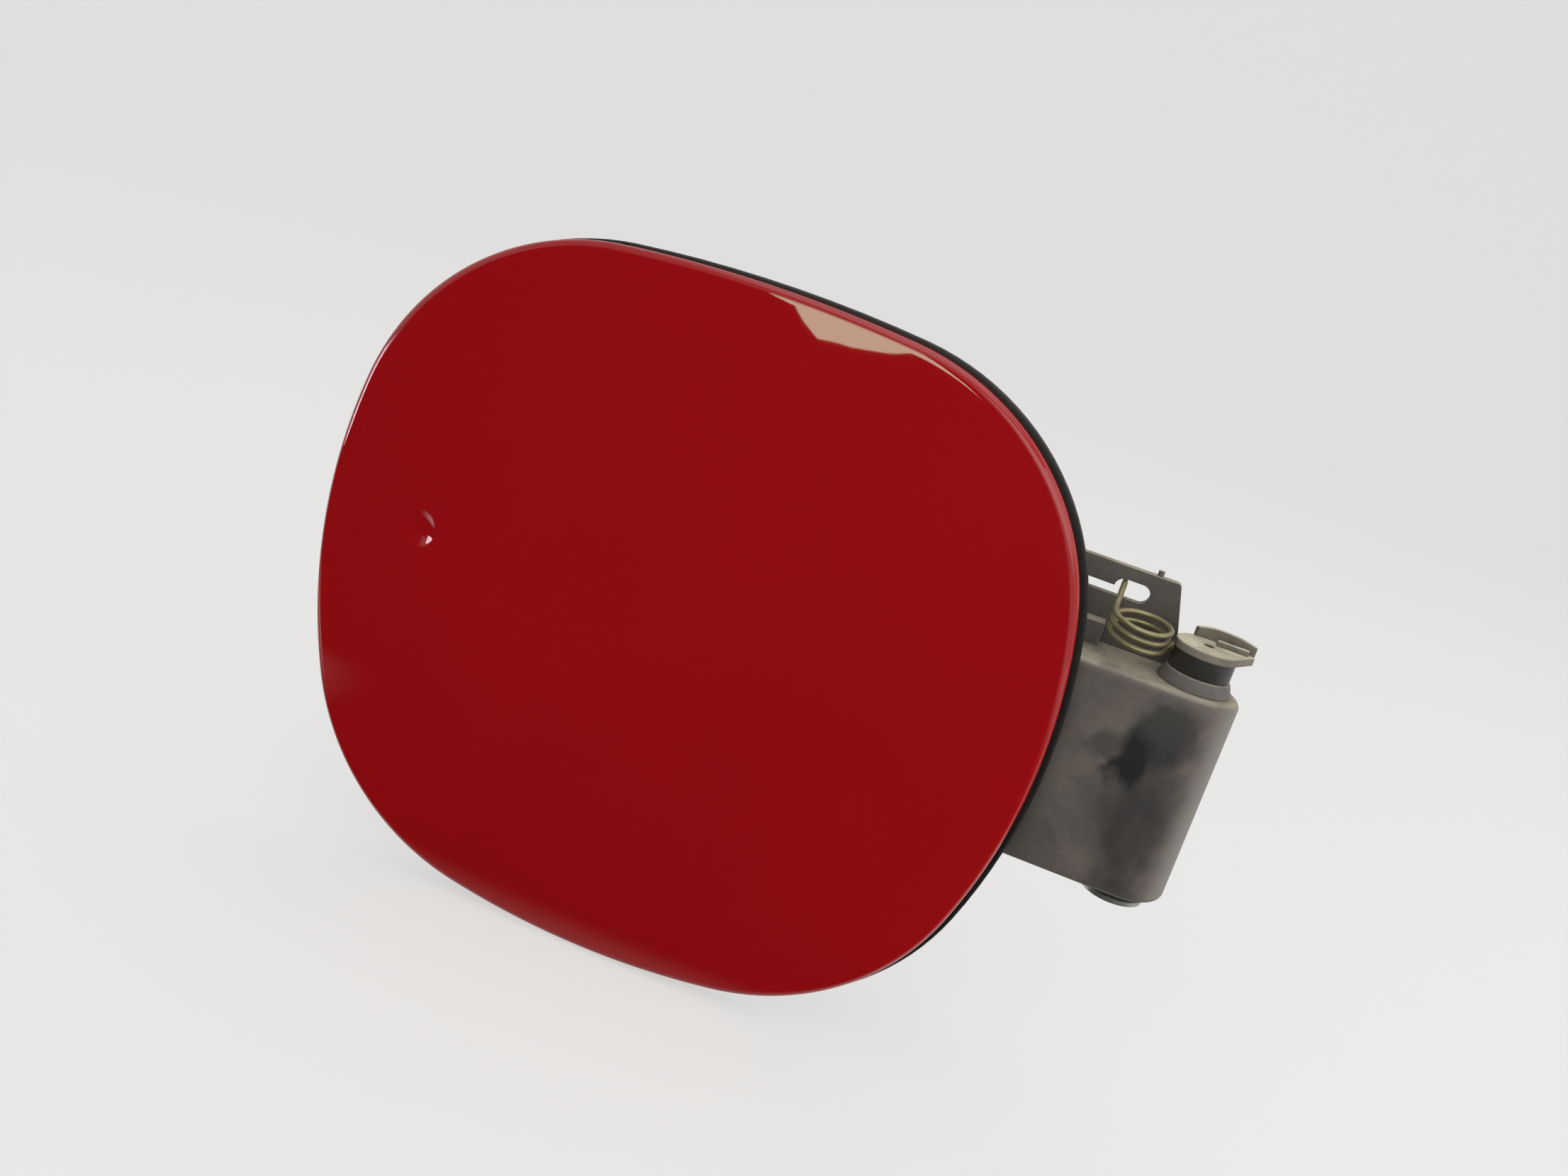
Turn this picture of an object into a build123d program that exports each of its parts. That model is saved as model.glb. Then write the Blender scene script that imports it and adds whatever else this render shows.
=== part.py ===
"""Car fuel door: a domed, painted steel skin on a moulded carrier, swung on a gooseneck arm.

Frame: the origin is on the hinge axis, at the mouth of the socket in the pin's foot.
+X points from the door to its hinge side, +Y into the car and +Z up along the hinge axis.
"""

import os
from math import acos, atan2, cos, degrees, hypot, pi, sin, sqrt

from build123d import *

# Door outline, seen from outside the car: four corner arcs joined by bowed sides
top_half_span = 26.5
bottom_half_span = 23.8
corner_rise = 40.6
corner_radius = 56.0
top_bow = 1.4
side_bow = 2.8
bottom_bow = 2.0

# Outer skin: a domed steel pressing with a turned edge
skin_gauge = 0.8
dome_radius = 900.0
crown_depth = 8.2
edge_round = 1.8

# Ding near the skin's free edge, measured from the door's centre
ding_across = -60.0
ding_up = 3.7
ding_radius = 11.0
ding_depth = 0.9
ding_lip = 2.0

# Carrier moulding behind the skin
carrier_lip = 0.5
carrier_lead = 1.0
carrier_rim = 4.0
carrier_floor = 2.2
carrier_rim_round = 0.8
carrier_edge_width = 5.0
land_wall = 2.0
land_fit = 0.15
bead_inset = 7.0
bead_width = 2.5
bead_height = 2.5
rib_width = 1.6
cross_rib_offset = 33.0
upright_rib_offset = 14.0

# Hinge layout: the axis lies behind the skin's back edge and beyond the door's side
hinge_setback = 18.5
hinge_reach = 108.4

# Hinge arm moulding
barrel_radius = 10.5
barrel_core_radius = 8.5
arm_height = 48.0
arm_wall = 2.5
arm_rib = 2.0
arm_edge_round = 1.8
arm_cells = 3
box_overlap = 12.0
cell_end = 6.0
pad_clearance = 5.4
pad_length = 56.0
pad_height = 44.0
pad_corner = 6.0
pad_root = 1.0

# Upright plate on the arm's shelf, with a keyhole slot that takes the spring's hook
plate_height = 18.0
plate_wall = 2.5
plate_far_end = 46.0
plate_foot_end = 4.0
plate_top_end = 9.2
plate_corner = 1.2
slot_rise = 13.0
slot_eye_height = 4.2
slot_eye_start = 14.6
slot_eye_length = 8.0
slot_narrow = 2.2
slot_narrow_length = 6.7
ledge_height = 5.2
ledge_depth = 4.5
ledge_end = 21.5
pip_across = 14.0
pip_diameter = 1.4
pip_height = 1.2

# Pivot pin, bushes and clip
pin_diameter = 8.0
pin_running_fit = 0.05
pin_end_play = 0.2
pin_foot = 1.0
pin_chamfer = 0.4
socket_diameter = 4.0
socket_depth = 14.0
clip_thickness = 1.0
clip_diameter = 14.0
clip_mouth = 5.6
clip_groove_depth = 0.6
clip_side_fit = 0.05
bush_diameter = 11.0
bush_fit = 0.02
bush_length = 14.0
upper_flange_diameter = 16.4
upper_flange_thickness = 3.0
lower_flange_diameter = 15.0
lower_flange_thickness = 1.4
flange_round = 0.5
upper_flange_taper = 22.0
neck_diameter = 13.4
neck_height = 4.2
head_radius = 7.0
head_thickness = 1.8
head_round = 0.5
tab_reach = 10.2
tab_back = 5.2
tab_end = 1.4
head_rim_width = 1.4
head_rim_height = 2.6
head_rim_start = 3.4
head_rim_back = 3.0
key_rib_width = 1.4
key_rib_height = 1.2
key_rib_back = 2.9
key_rib_start = 1.6
key_rib_end = 8.6
head_hole_diameter = 2.4
head_hole_depth = 4.5

# Hold-open spring, wound from round wire
wire_diameter = 1.2
wire_gap = 0.3
wire_bend = 1.2
coil_diameter = 12.6
coil_pitch = 2.1
coil_turns = 2.5
coil_stand_off = 0.6
coil_forward = 0.5
coil_foot_rise = 5.15
coil_nod = 9.0
hook_across = 20.6
hook_drop = 4.0
hook_lead = 1.5
leg_length = 8.2

# Fasteners
screw_diameter = 4.0
screw_head_diameter = 8.0
screw_head_height = 2.8
screw_head_round = 1.0
screw_grip = 5.0
screw_clearance = 0.2
screw_fit = 0.03
boss_diameter = 9.0
boss_height = 4.0
drive_sides = 6
drive_diameter = 3.6
drive_depth = 1.6

# Striker for the car's locking bolt
striker_inset = 22.8
striker_gauge = 1.5
striker_base = 20.0
striker_width = 24.0
striker_tab_width = 16.0
striker_tab_height = 18.0
striker_bend = 2.5
lock_eye_diameter = 7.0
lock_eye_height = 11.0
striker_screw_spacing = 14.0
striker_screw_length = 4.5
striker_screw_head = 7.0

# Rubber stop buffers
buffer_inset = 43.3
buffer_up = 42.0
buffer_diameter = 12.0
buffer_height = 6.0
buffer_round = 2.5
buffer_stem_diameter = 5.0
buffer_stem_fit = 0.05
buffer_bulb_diameter = 7.0
buffer_bulb_height = 2.0
buffer_bulb_taper = 30.0

# Heights along the hinge axis
clip_z = pin_foot + clip_side_fit
lower_flange_z = clip_z + clip_thickness + pin_end_play
arm_bottom_z = lower_flange_z + lower_flange_thickness
arm_mid_z = arm_bottom_z + arm_height / 2
shelf_z = arm_bottom_z + arm_height
neck_z = shelf_z + upper_flange_thickness + pin_end_play
head_z = neck_z + neck_height
head_top_z = head_z + head_thickness
plate_top_z = shelf_z + plate_height
slot_z = shelf_z + slot_rise
slot_narrow_z = slot_z - (slot_eye_height - slot_narrow) / 2

# Depths, from the outside of the door towards the car
skin_back_y = -hinge_setback
dome_top_y = skin_back_y - crown_depth
carrier_back_y = skin_back_y + carrier_rim
floor_front_y = carrier_back_y - carrier_floor
arm_front_y = -barrel_radius
arm_seat_y = arm_front_y + arm_wall
plate_front_y = barrel_radius - plate_wall
door_x = -hinge_reach

# The skin's turned edge is straight behind its rounding, least of all at the upper corners
corner_reach = hypot(top_half_span, corner_rise / 2) + corner_radius
corner_edge_y = dome_top_y + dome_radius - sqrt(dome_radius**2 - corner_reach**2)
land_height = skin_back_y - corner_edge_y - edge_round

# Across the door: the pad starts inside the carrier's bead; striker and buffers keep to the free side
door_width = 2 * (top_half_span + side_bow + corner_radius)
pad_start = hinge_reach - door_width / 2 + bead_inset + bead_width + pad_clearance
pad_end = pad_start + pad_length
arm_box_length = pad_start + box_overlap
striker_across = striker_inset - door_width / 2
buffer_across = buffer_inset - door_width / 2

# Cells of the arm's channel
cell_height = (arm_height - 2 * arm_wall - (arm_cells - 1) * arm_rib) / arm_cells
cell_pitch = cell_height + arm_rib
pad_mid_x = -pad_start - pad_length / 2
screw_inset = screw_head_diameter

os.makedirs("parts", exist_ok=True)


def facing(y):
    """Plane across the car at depth y, centred on the door and facing outwards."""
    return Plane(origin=(door_x, y, arm_mid_z), x_dir=(1, 0, 0), z_dir=(0, -1, 0))


def door_outline(grow):
    """The door's outline, grown outwards by a distance and centred on its own plane."""
    rise = corner_rise / 2
    top_left = (-top_half_span, rise)
    top_right = (top_half_span, rise)
    bottom_right = (bottom_half_span, -rise)
    bottom_left = (-bottom_half_span, -rise)
    with BuildSketch() as outline:
        with BuildLine():
            SagittaArc(top_left, top_right, top_bow)
            SagittaArc(top_right, bottom_right, side_bow)
            SagittaArc(bottom_right, bottom_left, bottom_bow)
            SagittaArc(bottom_left, top_left, side_bow)
        make_face()
        offset(amount=corner_radius + grow, kind=Kind.ARC)
    return outline.sketch


def pressed_form(inset):
    """Solid domed form of the pressing, with its edge rounded and its ding, inset all over."""
    outline = door_outline(-inset)
    dome_centre = (door_x, dome_top_y + dome_radius, arm_mid_z)
    surface_y = dome_top_y + dome_radius - sqrt(dome_radius**2 - ding_across**2 - ding_up**2)
    ding_centre = (door_x + ding_across, surface_y + ding_depth - ding_radius, arm_mid_z + ding_up)
    with BuildPart() as form:
        with BuildSketch(facing(skin_back_y)):
            add(outline)
        extrude(amount=2 * crown_depth)
        with Locations(dome_centre):
            Sphere(dome_radius - inset, mode=Mode.INTERSECT)
        dome = form.faces().filter_by(GeomType.SPHERE)
        fillet(dome.edges(), edge_round - inset)
        with Locations(ding_centre):
            Sphere(ding_radius + inset, mode=Mode.SUBTRACT)
        ding = form.faces().filter_by(GeomType.SPHERE).sort_by(SortBy.AREA)[0]
        fillet(ding.edges(), ding_lip - inset)
    return form.part


def save(builder, name):
    """Labels a finished piece and writes it."""
    builder.part.label = name
    export_step(builder.part, f"parts/{name}.step")


# Outer skin: the pressing's outside less its inside
skin_outside = pressed_form(0)
skin_inside = pressed_form(skin_gauge)
with BuildPart() as outer_skin:
    add(skin_outside)
    add(skin_inside, mode=Mode.SUBTRACT)
save(outer_skin, "outer_skin")


# Places of the fasteners and buffers on the carrier's back, from the door's centre
arm_screw_places = [
    (pad_mid_x - door_x + side * (pad_length / 2 - screw_inset), level * cell_pitch)
    for side in (-1, 1)
    for level in (-1, 1)
]
striker_screw_places = [
    (striker_across, side * striker_screw_spacing / 2)
    for side in (-1, 1)
]
buffer_places = {
    "upper_buffer": (buffer_across, buffer_up),
    "lower_buffer": (buffer_across, -buffer_up),
}
cross_rib_places = [(0, cross_rib_offset), (0, -cross_rib_offset)]

# Carrier: a rim that leads towards the hinge, a floor, a land that locates the skin, beads, bosses and holes
rim_outline = door_outline(carrier_lip)
pocket_outline = door_outline(-carrier_edge_width)
land_outside = door_outline(-skin_gauge - land_fit)
land_inside = door_outline(-skin_gauge - land_fit - land_wall)
bead_outside = door_outline(-bead_inset)
bead_inside = door_outline(-bead_inset - bead_width)
with BuildPart() as inner_panel:
    with BuildSketch(facing(carrier_back_y)):
        with Locations((carrier_lead, 0)):
            add(rim_outline)
    extrude(amount=carrier_rim)
    fillet(inner_panel.faces().filter_by(Axis.Y).edges(), carrier_rim_round)
    with BuildSketch(facing(floor_front_y)):
        add(pocket_outline)
    extrude(amount=carrier_rim, mode=Mode.SUBTRACT)
    with BuildSketch(facing(skin_back_y)):
        add(land_outside)
        add(land_inside, mode=Mode.SUBTRACT)
    extrude(amount=land_height)
    with BuildSketch(facing(carrier_back_y)):
        add(bead_outside)
        add(bead_inside, mode=Mode.SUBTRACT)
    extrude(amount=-bead_height)
    for place in cross_rib_places:
        with BuildSketch(facing(carrier_back_y)):
            add(bead_outside)
            with Locations(place):
                Rectangle(door_width, rib_width, mode=Mode.INTERSECT)
        extrude(amount=-bead_height)
    with BuildSketch(facing(carrier_back_y)):
        add(bead_outside)
        with Locations((-upright_rib_offset, 0)):
            Rectangle(rib_width, door_width, mode=Mode.INTERSECT)
    extrude(amount=-bead_height)
    with BuildSketch(facing(floor_front_y)):
        with Locations(*arm_screw_places, *striker_screw_places):
            Circle(boss_diameter / 2)
    extrude(amount=boss_height)
    with BuildSketch(facing(carrier_back_y)):
        with Locations(*arm_screw_places, *striker_screw_places):
            Circle(screw_diameter / 2 + screw_fit)
        with Locations(*buffer_places.values()):
            Circle(buffer_stem_diameter / 2 + buffer_stem_fit)
    extrude(amount=carrier_floor + boss_height, mode=Mode.SUBTRACT)
save(inner_panel, "inner_panel")


# Hinge arm: a barrel and channel, a pad on the carrier and the slotted plate on the shelf
pad_thickness = arm_front_y - carrier_back_y
cell_plan_length = pad_end - cell_end
slot_eye_mid = -slot_eye_start - slot_eye_length / 2
slot_narrow_mid = -slot_eye_start - slot_eye_length - slot_narrow_length / 2
with BuildPart() as hinge_arm:
    with BuildSketch(Plane.XY.offset(arm_bottom_z)):
        with BuildLine():
            Polyline(
                (0, arm_front_y),
                (0, barrel_radius),
                (-arm_box_length, barrel_radius),
                (-pad_end, arm_seat_y),
                (-pad_end, arm_front_y),
                close=True,
            )
        make_face()
        Circle(barrel_radius)
    extrude(amount=arm_height)
    end_faces = hinge_arm.faces().filter_by(Axis.Z)
    front_edges = end_faces.edges().filter_by(Axis.X).group_by(Axis.Y)[0]
    fillet(front_edges, arm_edge_round)
    with BuildSketch(facing(carrier_back_y)):
        with Locations((pad_mid_x - door_x, 0)):
            RectangleRounded(pad_length, pad_height, pad_corner)
    extrude(amount=-pad_thickness - pad_root)
    for cell in range(arm_cells):
        with BuildSketch(Plane.XY.offset(arm_bottom_z + arm_wall + cell * cell_pitch)):
            with Locations((-cell_end, arm_seat_y)):
                Rectangle(cell_plan_length, 2 * barrel_radius, align=(Align.MAX, Align.MIN))
            Circle(barrel_core_radius, mode=Mode.SUBTRACT)
        extrude(amount=cell_height, mode=Mode.SUBTRACT)
    with BuildSketch(Plane.XZ.offset(-barrel_radius)):
        with BuildLine():
            Polyline(
                (-plate_far_end, shelf_z - arm_wall),
                (-plate_foot_end, shelf_z - arm_wall),
                (-plate_foot_end, shelf_z),
                (-plate_top_end, plate_top_z),
                (-plate_far_end, plate_top_z),
                close=True,
            )
        outline_face = make_face()
        fillet(outline_face.vertices().group_by(Axis.Y)[-1], plate_corner)
        with Locations((slot_eye_mid, slot_z)):
            SlotOverall(slot_eye_length, slot_eye_height, mode=Mode.SUBTRACT)
        with Locations((slot_narrow_mid, slot_narrow_z)):
            Rectangle(slot_narrow_length + slot_eye_height, slot_narrow, mode=Mode.SUBTRACT)
    extrude(amount=plate_wall)
    with BuildSketch(Plane.XY.offset(shelf_z - arm_wall)):
        with Locations((-ledge_end, plate_front_y)):
            Rectangle(plate_far_end - ledge_end, ledge_depth, align=(Align.MAX, Align.MAX))
    extrude(amount=ledge_height + arm_wall)
    with BuildSketch(Plane.XY.offset(plate_top_z)):
        with Locations((-pip_across, barrel_radius - plate_wall / 2)):
            Circle(pip_diameter / 2)
    extrude(amount=pip_height)
    with BuildSketch(Plane.XY.offset(arm_bottom_z)):
        Circle(bush_diameter / 2 + bush_fit)
    extrude(amount=arm_height, mode=Mode.SUBTRACT)
    with BuildSketch(facing(carrier_back_y)):
        with Locations(*arm_screw_places):
            Circle(screw_diameter / 2 + screw_clearance)
    extrude(amount=carrier_back_y - arm_seat_y, mode=Mode.SUBTRACT)
save(hinge_arm, "hinge_arm")


def flanged_bush(flange_z, flange_thickness, flange_diameter, flange_taper, sleeve_way):
    """Bush with its flange at flange_z and its sleeve running up (+1) or down (-1) into the arm."""
    sleeve_z = flange_z + flange_thickness if sleeve_way > 0 else flange_z
    with BuildPart() as bush:
        with BuildSketch(Plane.XY.offset(flange_z)):
            Circle(flange_diameter / 2)
        extrude(amount=flange_thickness, taper=flange_taper)
        outer_edges = bush.edges().filter_by(GeomType.CIRCLE)
        fillet(outer_edges.sort_by(Axis.Z, reverse=sleeve_way < 0)[0], flange_round)
        with BuildSketch(Plane.XY.offset(sleeve_z)):
            Circle(bush_diameter / 2)
        extrude(amount=sleeve_way * bush_length)
        with BuildSketch(Plane.XY.offset(flange_z)):
            Circle(pin_diameter / 2 + pin_running_fit)
        extrude(amount=bush_length + flange_thickness, both=True, mode=Mode.SUBTRACT)
    return bush


upper_bush = flanged_bush(
    shelf_z, upper_flange_thickness, upper_flange_diameter, upper_flange_taper, -1
)
save(upper_bush, "upper_bush")
lower_bush = flanged_bush(lower_flange_z, lower_flange_thickness, lower_flange_diameter, 0, 1)
save(lower_bush, "lower_bush")


# Pivot pin: shaft, clip groove and foot socket below; neck and flag-shaped head above
groove_height = clip_thickness + 2 * clip_side_fit
with BuildSketch() as head_plan:
    Circle(head_radius)
    with Locations((tab_reach, tab_back)):
        Rectangle(tab_end, tab_end, align=(Align.MAX, Align.MAX))
    make_hull()
with BuildPart() as hinge_pin:
    with BuildSketch(Plane.XY):
        Circle(pin_diameter / 2)
    extrude(amount=neck_z)
    chamfer(hinge_pin.edges().sort_by(Axis.Z)[0], pin_chamfer)
    with BuildSketch(Plane.XY):
        Circle(socket_diameter / 2)
    extrude(amount=socket_depth, mode=Mode.SUBTRACT)
    with BuildSketch(Plane.XY.offset(pin_foot)):
        Circle(pin_diameter / 2)
        Circle(pin_diameter / 2 - clip_groove_depth, mode=Mode.SUBTRACT)
    extrude(amount=groove_height, mode=Mode.SUBTRACT)
    with BuildSketch(Plane.XY.offset(neck_z)):
        Circle(neck_diameter / 2)
    extrude(amount=neck_height)
    with BuildSketch(Plane.XY.offset(head_z)):
        add(head_plan.sketch)
    extrude(amount=head_thickness)
    fillet(hinge_pin.faces().sort_by(Axis.Z)[-1].edges(), head_round)
    with BuildSketch(Plane.XY.offset(head_top_z - head_round)):
        add(head_plan.sketch)
        offset(amount=-head_rim_width, mode=Mode.SUBTRACT)
        with Locations((-head_rim_start, head_rim_back)):
            Rectangle(
                head_rim_start + tab_reach,
                head_radius,
                align=(Align.MIN, Align.MIN),
                mode=Mode.INTERSECT,
            )
    extrude(amount=head_rim_height + head_round)
    with BuildSketch(Plane.XY.offset(head_top_z - head_round)):
        with Locations((key_rib_start, key_rib_back)):
            Rectangle(key_rib_end - key_rib_start, key_rib_width, align=(Align.MIN, Align.CENTER))
    extrude(amount=key_rib_height + head_round)
    with BuildSketch(Plane.XY.offset(head_top_z)):
        Circle(head_hole_diameter / 2)
    extrude(amount=-head_hole_depth, mode=Mode.SUBTRACT)
save(hinge_pin, "hinge_pin")

# Clip: an open ring snapped into the pin's groove
with BuildPart() as pin_clip:
    with BuildSketch(Plane.XY.offset(clip_z)):
        Circle(clip_diameter / 2)
        Circle(pin_diameter / 2 - clip_groove_depth + clip_side_fit, mode=Mode.SUBTRACT)
        Rectangle(clip_mouth, clip_diameter, align=(Align.CENTER, Align.MIN), mode=Mode.SUBTRACT)
    extrude(amount=clip_thickness)
save(pin_clip, "pin_clip")


# Hold-open spring: a hook in the plate's slot, a coil above the shelf and a leg that bears on the pin's neck
wire_radius = wire_diameter / 2
coil_radius = coil_diameter / 2
bearing_radius = neck_diameter / 2 + wire_gap + wire_radius
coil_x = -(bearing_radius + coil_radius + coil_stand_off)
coil_y = -coil_forward
axis_bearing = atan2(-coil_y, -coil_x)
foot_angle = axis_bearing - acos((bearing_radius + coil_radius) / hypot(coil_x, coil_y))
coil_sweep = 2 * pi * coil_turns + foot_angle
coil_rise = coil_pitch * coil_sweep / (2 * pi)
coil_centre = Vector(coil_x, coil_y, shelf_z + coil_foot_rise)
coil_foot = coil_centre + Vector(cos(foot_angle), sin(foot_angle)) * coil_radius
hook_y = plate_front_y - wire_gap - wire_radius
hook_back_y = barrel_radius + wire_gap + wire_radius
hook_z = slot_z + slot_eye_height / 2 - wire_gap - wire_radius
helix = Edge.make_helix(coil_pitch, coil_rise, coil_radius, lefthand=True)
helix = helix.rotate(Axis.Z, degrees(foot_angle))
helix = helix.translate(-(helix @ 0)).rotate(Axis.X, coil_nod).translate(coil_foot)
with BuildLine() as coil_line:
    add(helix)
with BuildLine() as hook_line:
    FilletPolyline(
        (-hook_across, hook_back_y, hook_z - hook_drop),
        (-hook_across, hook_back_y, hook_z),
        (-hook_across, hook_y, hook_z),
        helix @ 1 + (helix % 1) * hook_lead,
        helix @ 1,
        radius=wire_bend,
    )
with BuildLine() as leg_line:
    Line(coil_foot, coil_foot - (helix % 0) * leg_length)
with BuildPart() as hold_spring:
    for line in (hook_line, coil_line, leg_line):
        path = line.wire()
        with BuildSketch(Plane(origin=path @ 0, z_dir=path % 0)):
            Circle(wire_radius)
        sweep(path=path)
save(hold_spring, "hold_spring")


def pan_screw(seat_plane, length, head_diameter):
    """Pan-head screw whose head sits on a plane and whose shank runs the plane's way."""
    with BuildPart() as screw:
        with BuildSketch(seat_plane):
            Circle(screw_diameter / 2)
        extrude(amount=length)
        with BuildSketch(seat_plane):
            Circle(head_diameter / 2)
        extrude(amount=-screw_head_height)
        fillet(screw.edges().filter_by(GeomType.CIRCLE).sort_by(Axis.Y)[-1], screw_head_round)
        with BuildSketch(seat_plane.offset(-screw_head_height)):
            RegularPolygon(drive_diameter / 2, drive_sides)
        extrude(amount=drive_depth, mode=Mode.SUBTRACT)
    return screw.part


def screw_group(places, seat_y, length, head_diameter):
    """Screws with their heads on depth seat_y, at places given from the door's centre."""
    screws = []
    for across, up in places:
        seat = Plane(origin=(door_x + across, seat_y, arm_mid_z + up), x_dir=(1, 0, 0), z_dir=(0, -1, 0))
        screws.append(pan_screw(seat, length, head_diameter))
    return screws


arm_screw_length = arm_seat_y - carrier_back_y + screw_grip
arm_screw_set = screw_group(arm_screw_places, arm_seat_y, arm_screw_length, screw_head_diameter)
with BuildPart() as arm_screws:
    add(arm_screw_set)
save(arm_screws, "arm_screws")


# Striker: a folded strip, its base on the carrier and its tab pierced for the locking bolt
striker_x = door_x + striker_across
striker_back_y = carrier_back_y + striker_gauge
tab_x = striker_x - striker_base / 2
tab_end_y = carrier_back_y + striker_tab_height
with BuildPart() as striker:
    with BuildSketch(Plane.XY.offset(arm_mid_z)):
        with BuildLine():
            FilletPolyline(
                (striker_x + striker_base / 2, carrier_back_y + striker_gauge / 2),
                (tab_x + striker_gauge / 2, carrier_back_y + striker_gauge / 2),
                (tab_x + striker_gauge / 2, tab_end_y),
                radius=striker_bend,
            )
            offset(amount=striker_gauge / 2, kind=Kind.TANGENT)
        make_face()
    extrude(amount=striker_width / 2, both=True)
    side_waste = (striker_width - striker_tab_width) / 2
    tab_run = striker_tab_height - striker_bend - striker_gauge
    for side in (-1, 1):
        with Locations((tab_x, tab_end_y, arm_mid_z + side * striker_width / 2)):
            Box(
                2 * striker_gauge,
                tab_run,
                2 * side_waste,
                align=(Align.CENTER, Align.MAX, Align.CENTER),
                mode=Mode.SUBTRACT,
            )
    with BuildSketch(Plane.YZ.offset(tab_x)):
        with Locations((carrier_back_y + lock_eye_height, arm_mid_z)):
            Circle(lock_eye_diameter / 2)
    extrude(amount=striker_gauge, both=True, mode=Mode.SUBTRACT)
    with BuildSketch(facing(striker_back_y)):
        with Locations(*striker_screw_places):
            Circle(screw_diameter / 2 + screw_clearance)
    extrude(amount=striker_gauge, mode=Mode.SUBTRACT)
save(striker, "striker")

striker_screw_set = screw_group(
    striker_screw_places, striker_back_y, striker_gauge + striker_screw_length, striker_screw_head
)
with BuildPart() as striker_screws:
    add(striker_screw_set)
save(striker_screws, "striker_screws")


# Stop buffers: rubber buttons pulled through the carrier's floor
for buffer_name, (across, up) in buffer_places.items():
    with BuildPart() as stop_buffer:
        base = facing(carrier_back_y).location * Location((across, up, 0))
        with BuildSketch(Plane(base)):
            Circle(buffer_diameter / 2)
        extrude(amount=-buffer_height)
        fillet(stop_buffer.edges().filter_by(GeomType.CIRCLE).sort_by(Axis.Y)[-1], buffer_round)
        with BuildSketch(Plane(base)):
            Circle(buffer_stem_diameter / 2)
        extrude(amount=carrier_floor)
        with BuildSketch(Plane(base).offset(carrier_floor)):
            Circle(buffer_bulb_diameter / 2)
        extrude(amount=buffer_bulb_height, taper=buffer_bulb_taper)
    save(stop_buffer, buffer_name)
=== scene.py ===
# %% [markdown]
# # A car fuel door
# The part is a red painted flap on a black moulded arm. This lesson starts from the imported CAD model,
# which fixes every size, and gives each piece the surface that the real one has.

# %% Load the CAD model
from math import acos, asin, atan2, cos, degrees, hypot, pi, radians, sin, sqrt, tan

import bmesh
import bpy
from mathutils import Matrix, Vector


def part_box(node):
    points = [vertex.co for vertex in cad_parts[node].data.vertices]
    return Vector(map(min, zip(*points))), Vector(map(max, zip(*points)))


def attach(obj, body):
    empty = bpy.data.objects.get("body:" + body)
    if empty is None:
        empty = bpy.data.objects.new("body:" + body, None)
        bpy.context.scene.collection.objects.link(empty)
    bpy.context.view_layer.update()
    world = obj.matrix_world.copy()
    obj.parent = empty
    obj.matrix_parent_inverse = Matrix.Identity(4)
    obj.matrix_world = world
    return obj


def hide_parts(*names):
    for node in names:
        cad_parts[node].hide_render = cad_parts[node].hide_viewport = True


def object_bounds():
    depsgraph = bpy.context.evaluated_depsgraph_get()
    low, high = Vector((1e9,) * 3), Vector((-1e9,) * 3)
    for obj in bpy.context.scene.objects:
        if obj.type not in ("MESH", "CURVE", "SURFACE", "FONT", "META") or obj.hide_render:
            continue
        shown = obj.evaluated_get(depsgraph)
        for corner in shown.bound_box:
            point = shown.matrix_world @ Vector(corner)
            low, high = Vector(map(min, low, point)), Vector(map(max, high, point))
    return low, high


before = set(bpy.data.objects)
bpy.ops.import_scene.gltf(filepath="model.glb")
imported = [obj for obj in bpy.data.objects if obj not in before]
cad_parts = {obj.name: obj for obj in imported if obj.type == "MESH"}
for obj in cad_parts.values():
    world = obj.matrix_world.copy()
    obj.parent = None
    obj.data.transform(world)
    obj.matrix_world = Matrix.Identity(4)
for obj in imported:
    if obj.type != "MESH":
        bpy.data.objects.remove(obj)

cad_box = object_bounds()
print("CAD nodes:", sorted(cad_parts))

# %% [markdown]
# ## Working in millimetres
# The pieces are drawn in millimetres, as a maker would, and made metres when they are finished.
# One function finishes every piece: it merges double points, shades the mesh, and ties the piece to the CAD
# body that it rides on.

# %% Helper that finishes a piece
MM = 0.001
MERGE_MM = 0.0005


def finish_piece(name, bm, material, body, nodes, sharp=35, recalculate=True):
    """Makes a bmesh drawn in millimetres an object in metres that stands for CAD nodes."""
    bmesh.ops.remove_doubles(bm, verts=bm.verts, dist=MERGE_MM)
    if recalculate:
        bmesh.ops.recalc_face_normals(bm, faces=bm.faces)
    bmesh.ops.scale(bm, vec=(MM, MM, MM), verts=bm.verts)
    mesh = bpy.data.meshes.new(name)
    bm.to_mesh(mesh)
    bm.free()
    mesh.shade_smooth()
    mesh.set_sharp_from_angle(angle=radians(sharp))
    piece = bpy.data.objects.new(name, mesh)
    bpy.context.scene.collection.objects.link(piece)
    mesh.materials.append(material)
    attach(piece, body)
    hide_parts(*nodes)
    print(name, "has", len(mesh.polygons), "faces")
    return piece


print("one millimetre is", MM, "m, and points closer than", MERGE_MM, "mm are merged")

# %% [markdown]
# ## Colours and nodes
# Colours are written as the sRGB hex values that a picture editor shows. Cycles works with linear light,
# so one function converts them. A second small function adds a node, sets it and links it.

# %% Helpers for materials
def linear(hex_colour):
    """An sRGB hex colour as linear red, green, blue and alpha."""
    channels = [int(hex_colour[i:i + 2], 16) / 255 for i in (1, 3, 5)]
    return [c / 12.92 if c <= 0.04045 else ((c + 0.055) / 1.055) ** 2.4 for c in channels] + [1.0]


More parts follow.
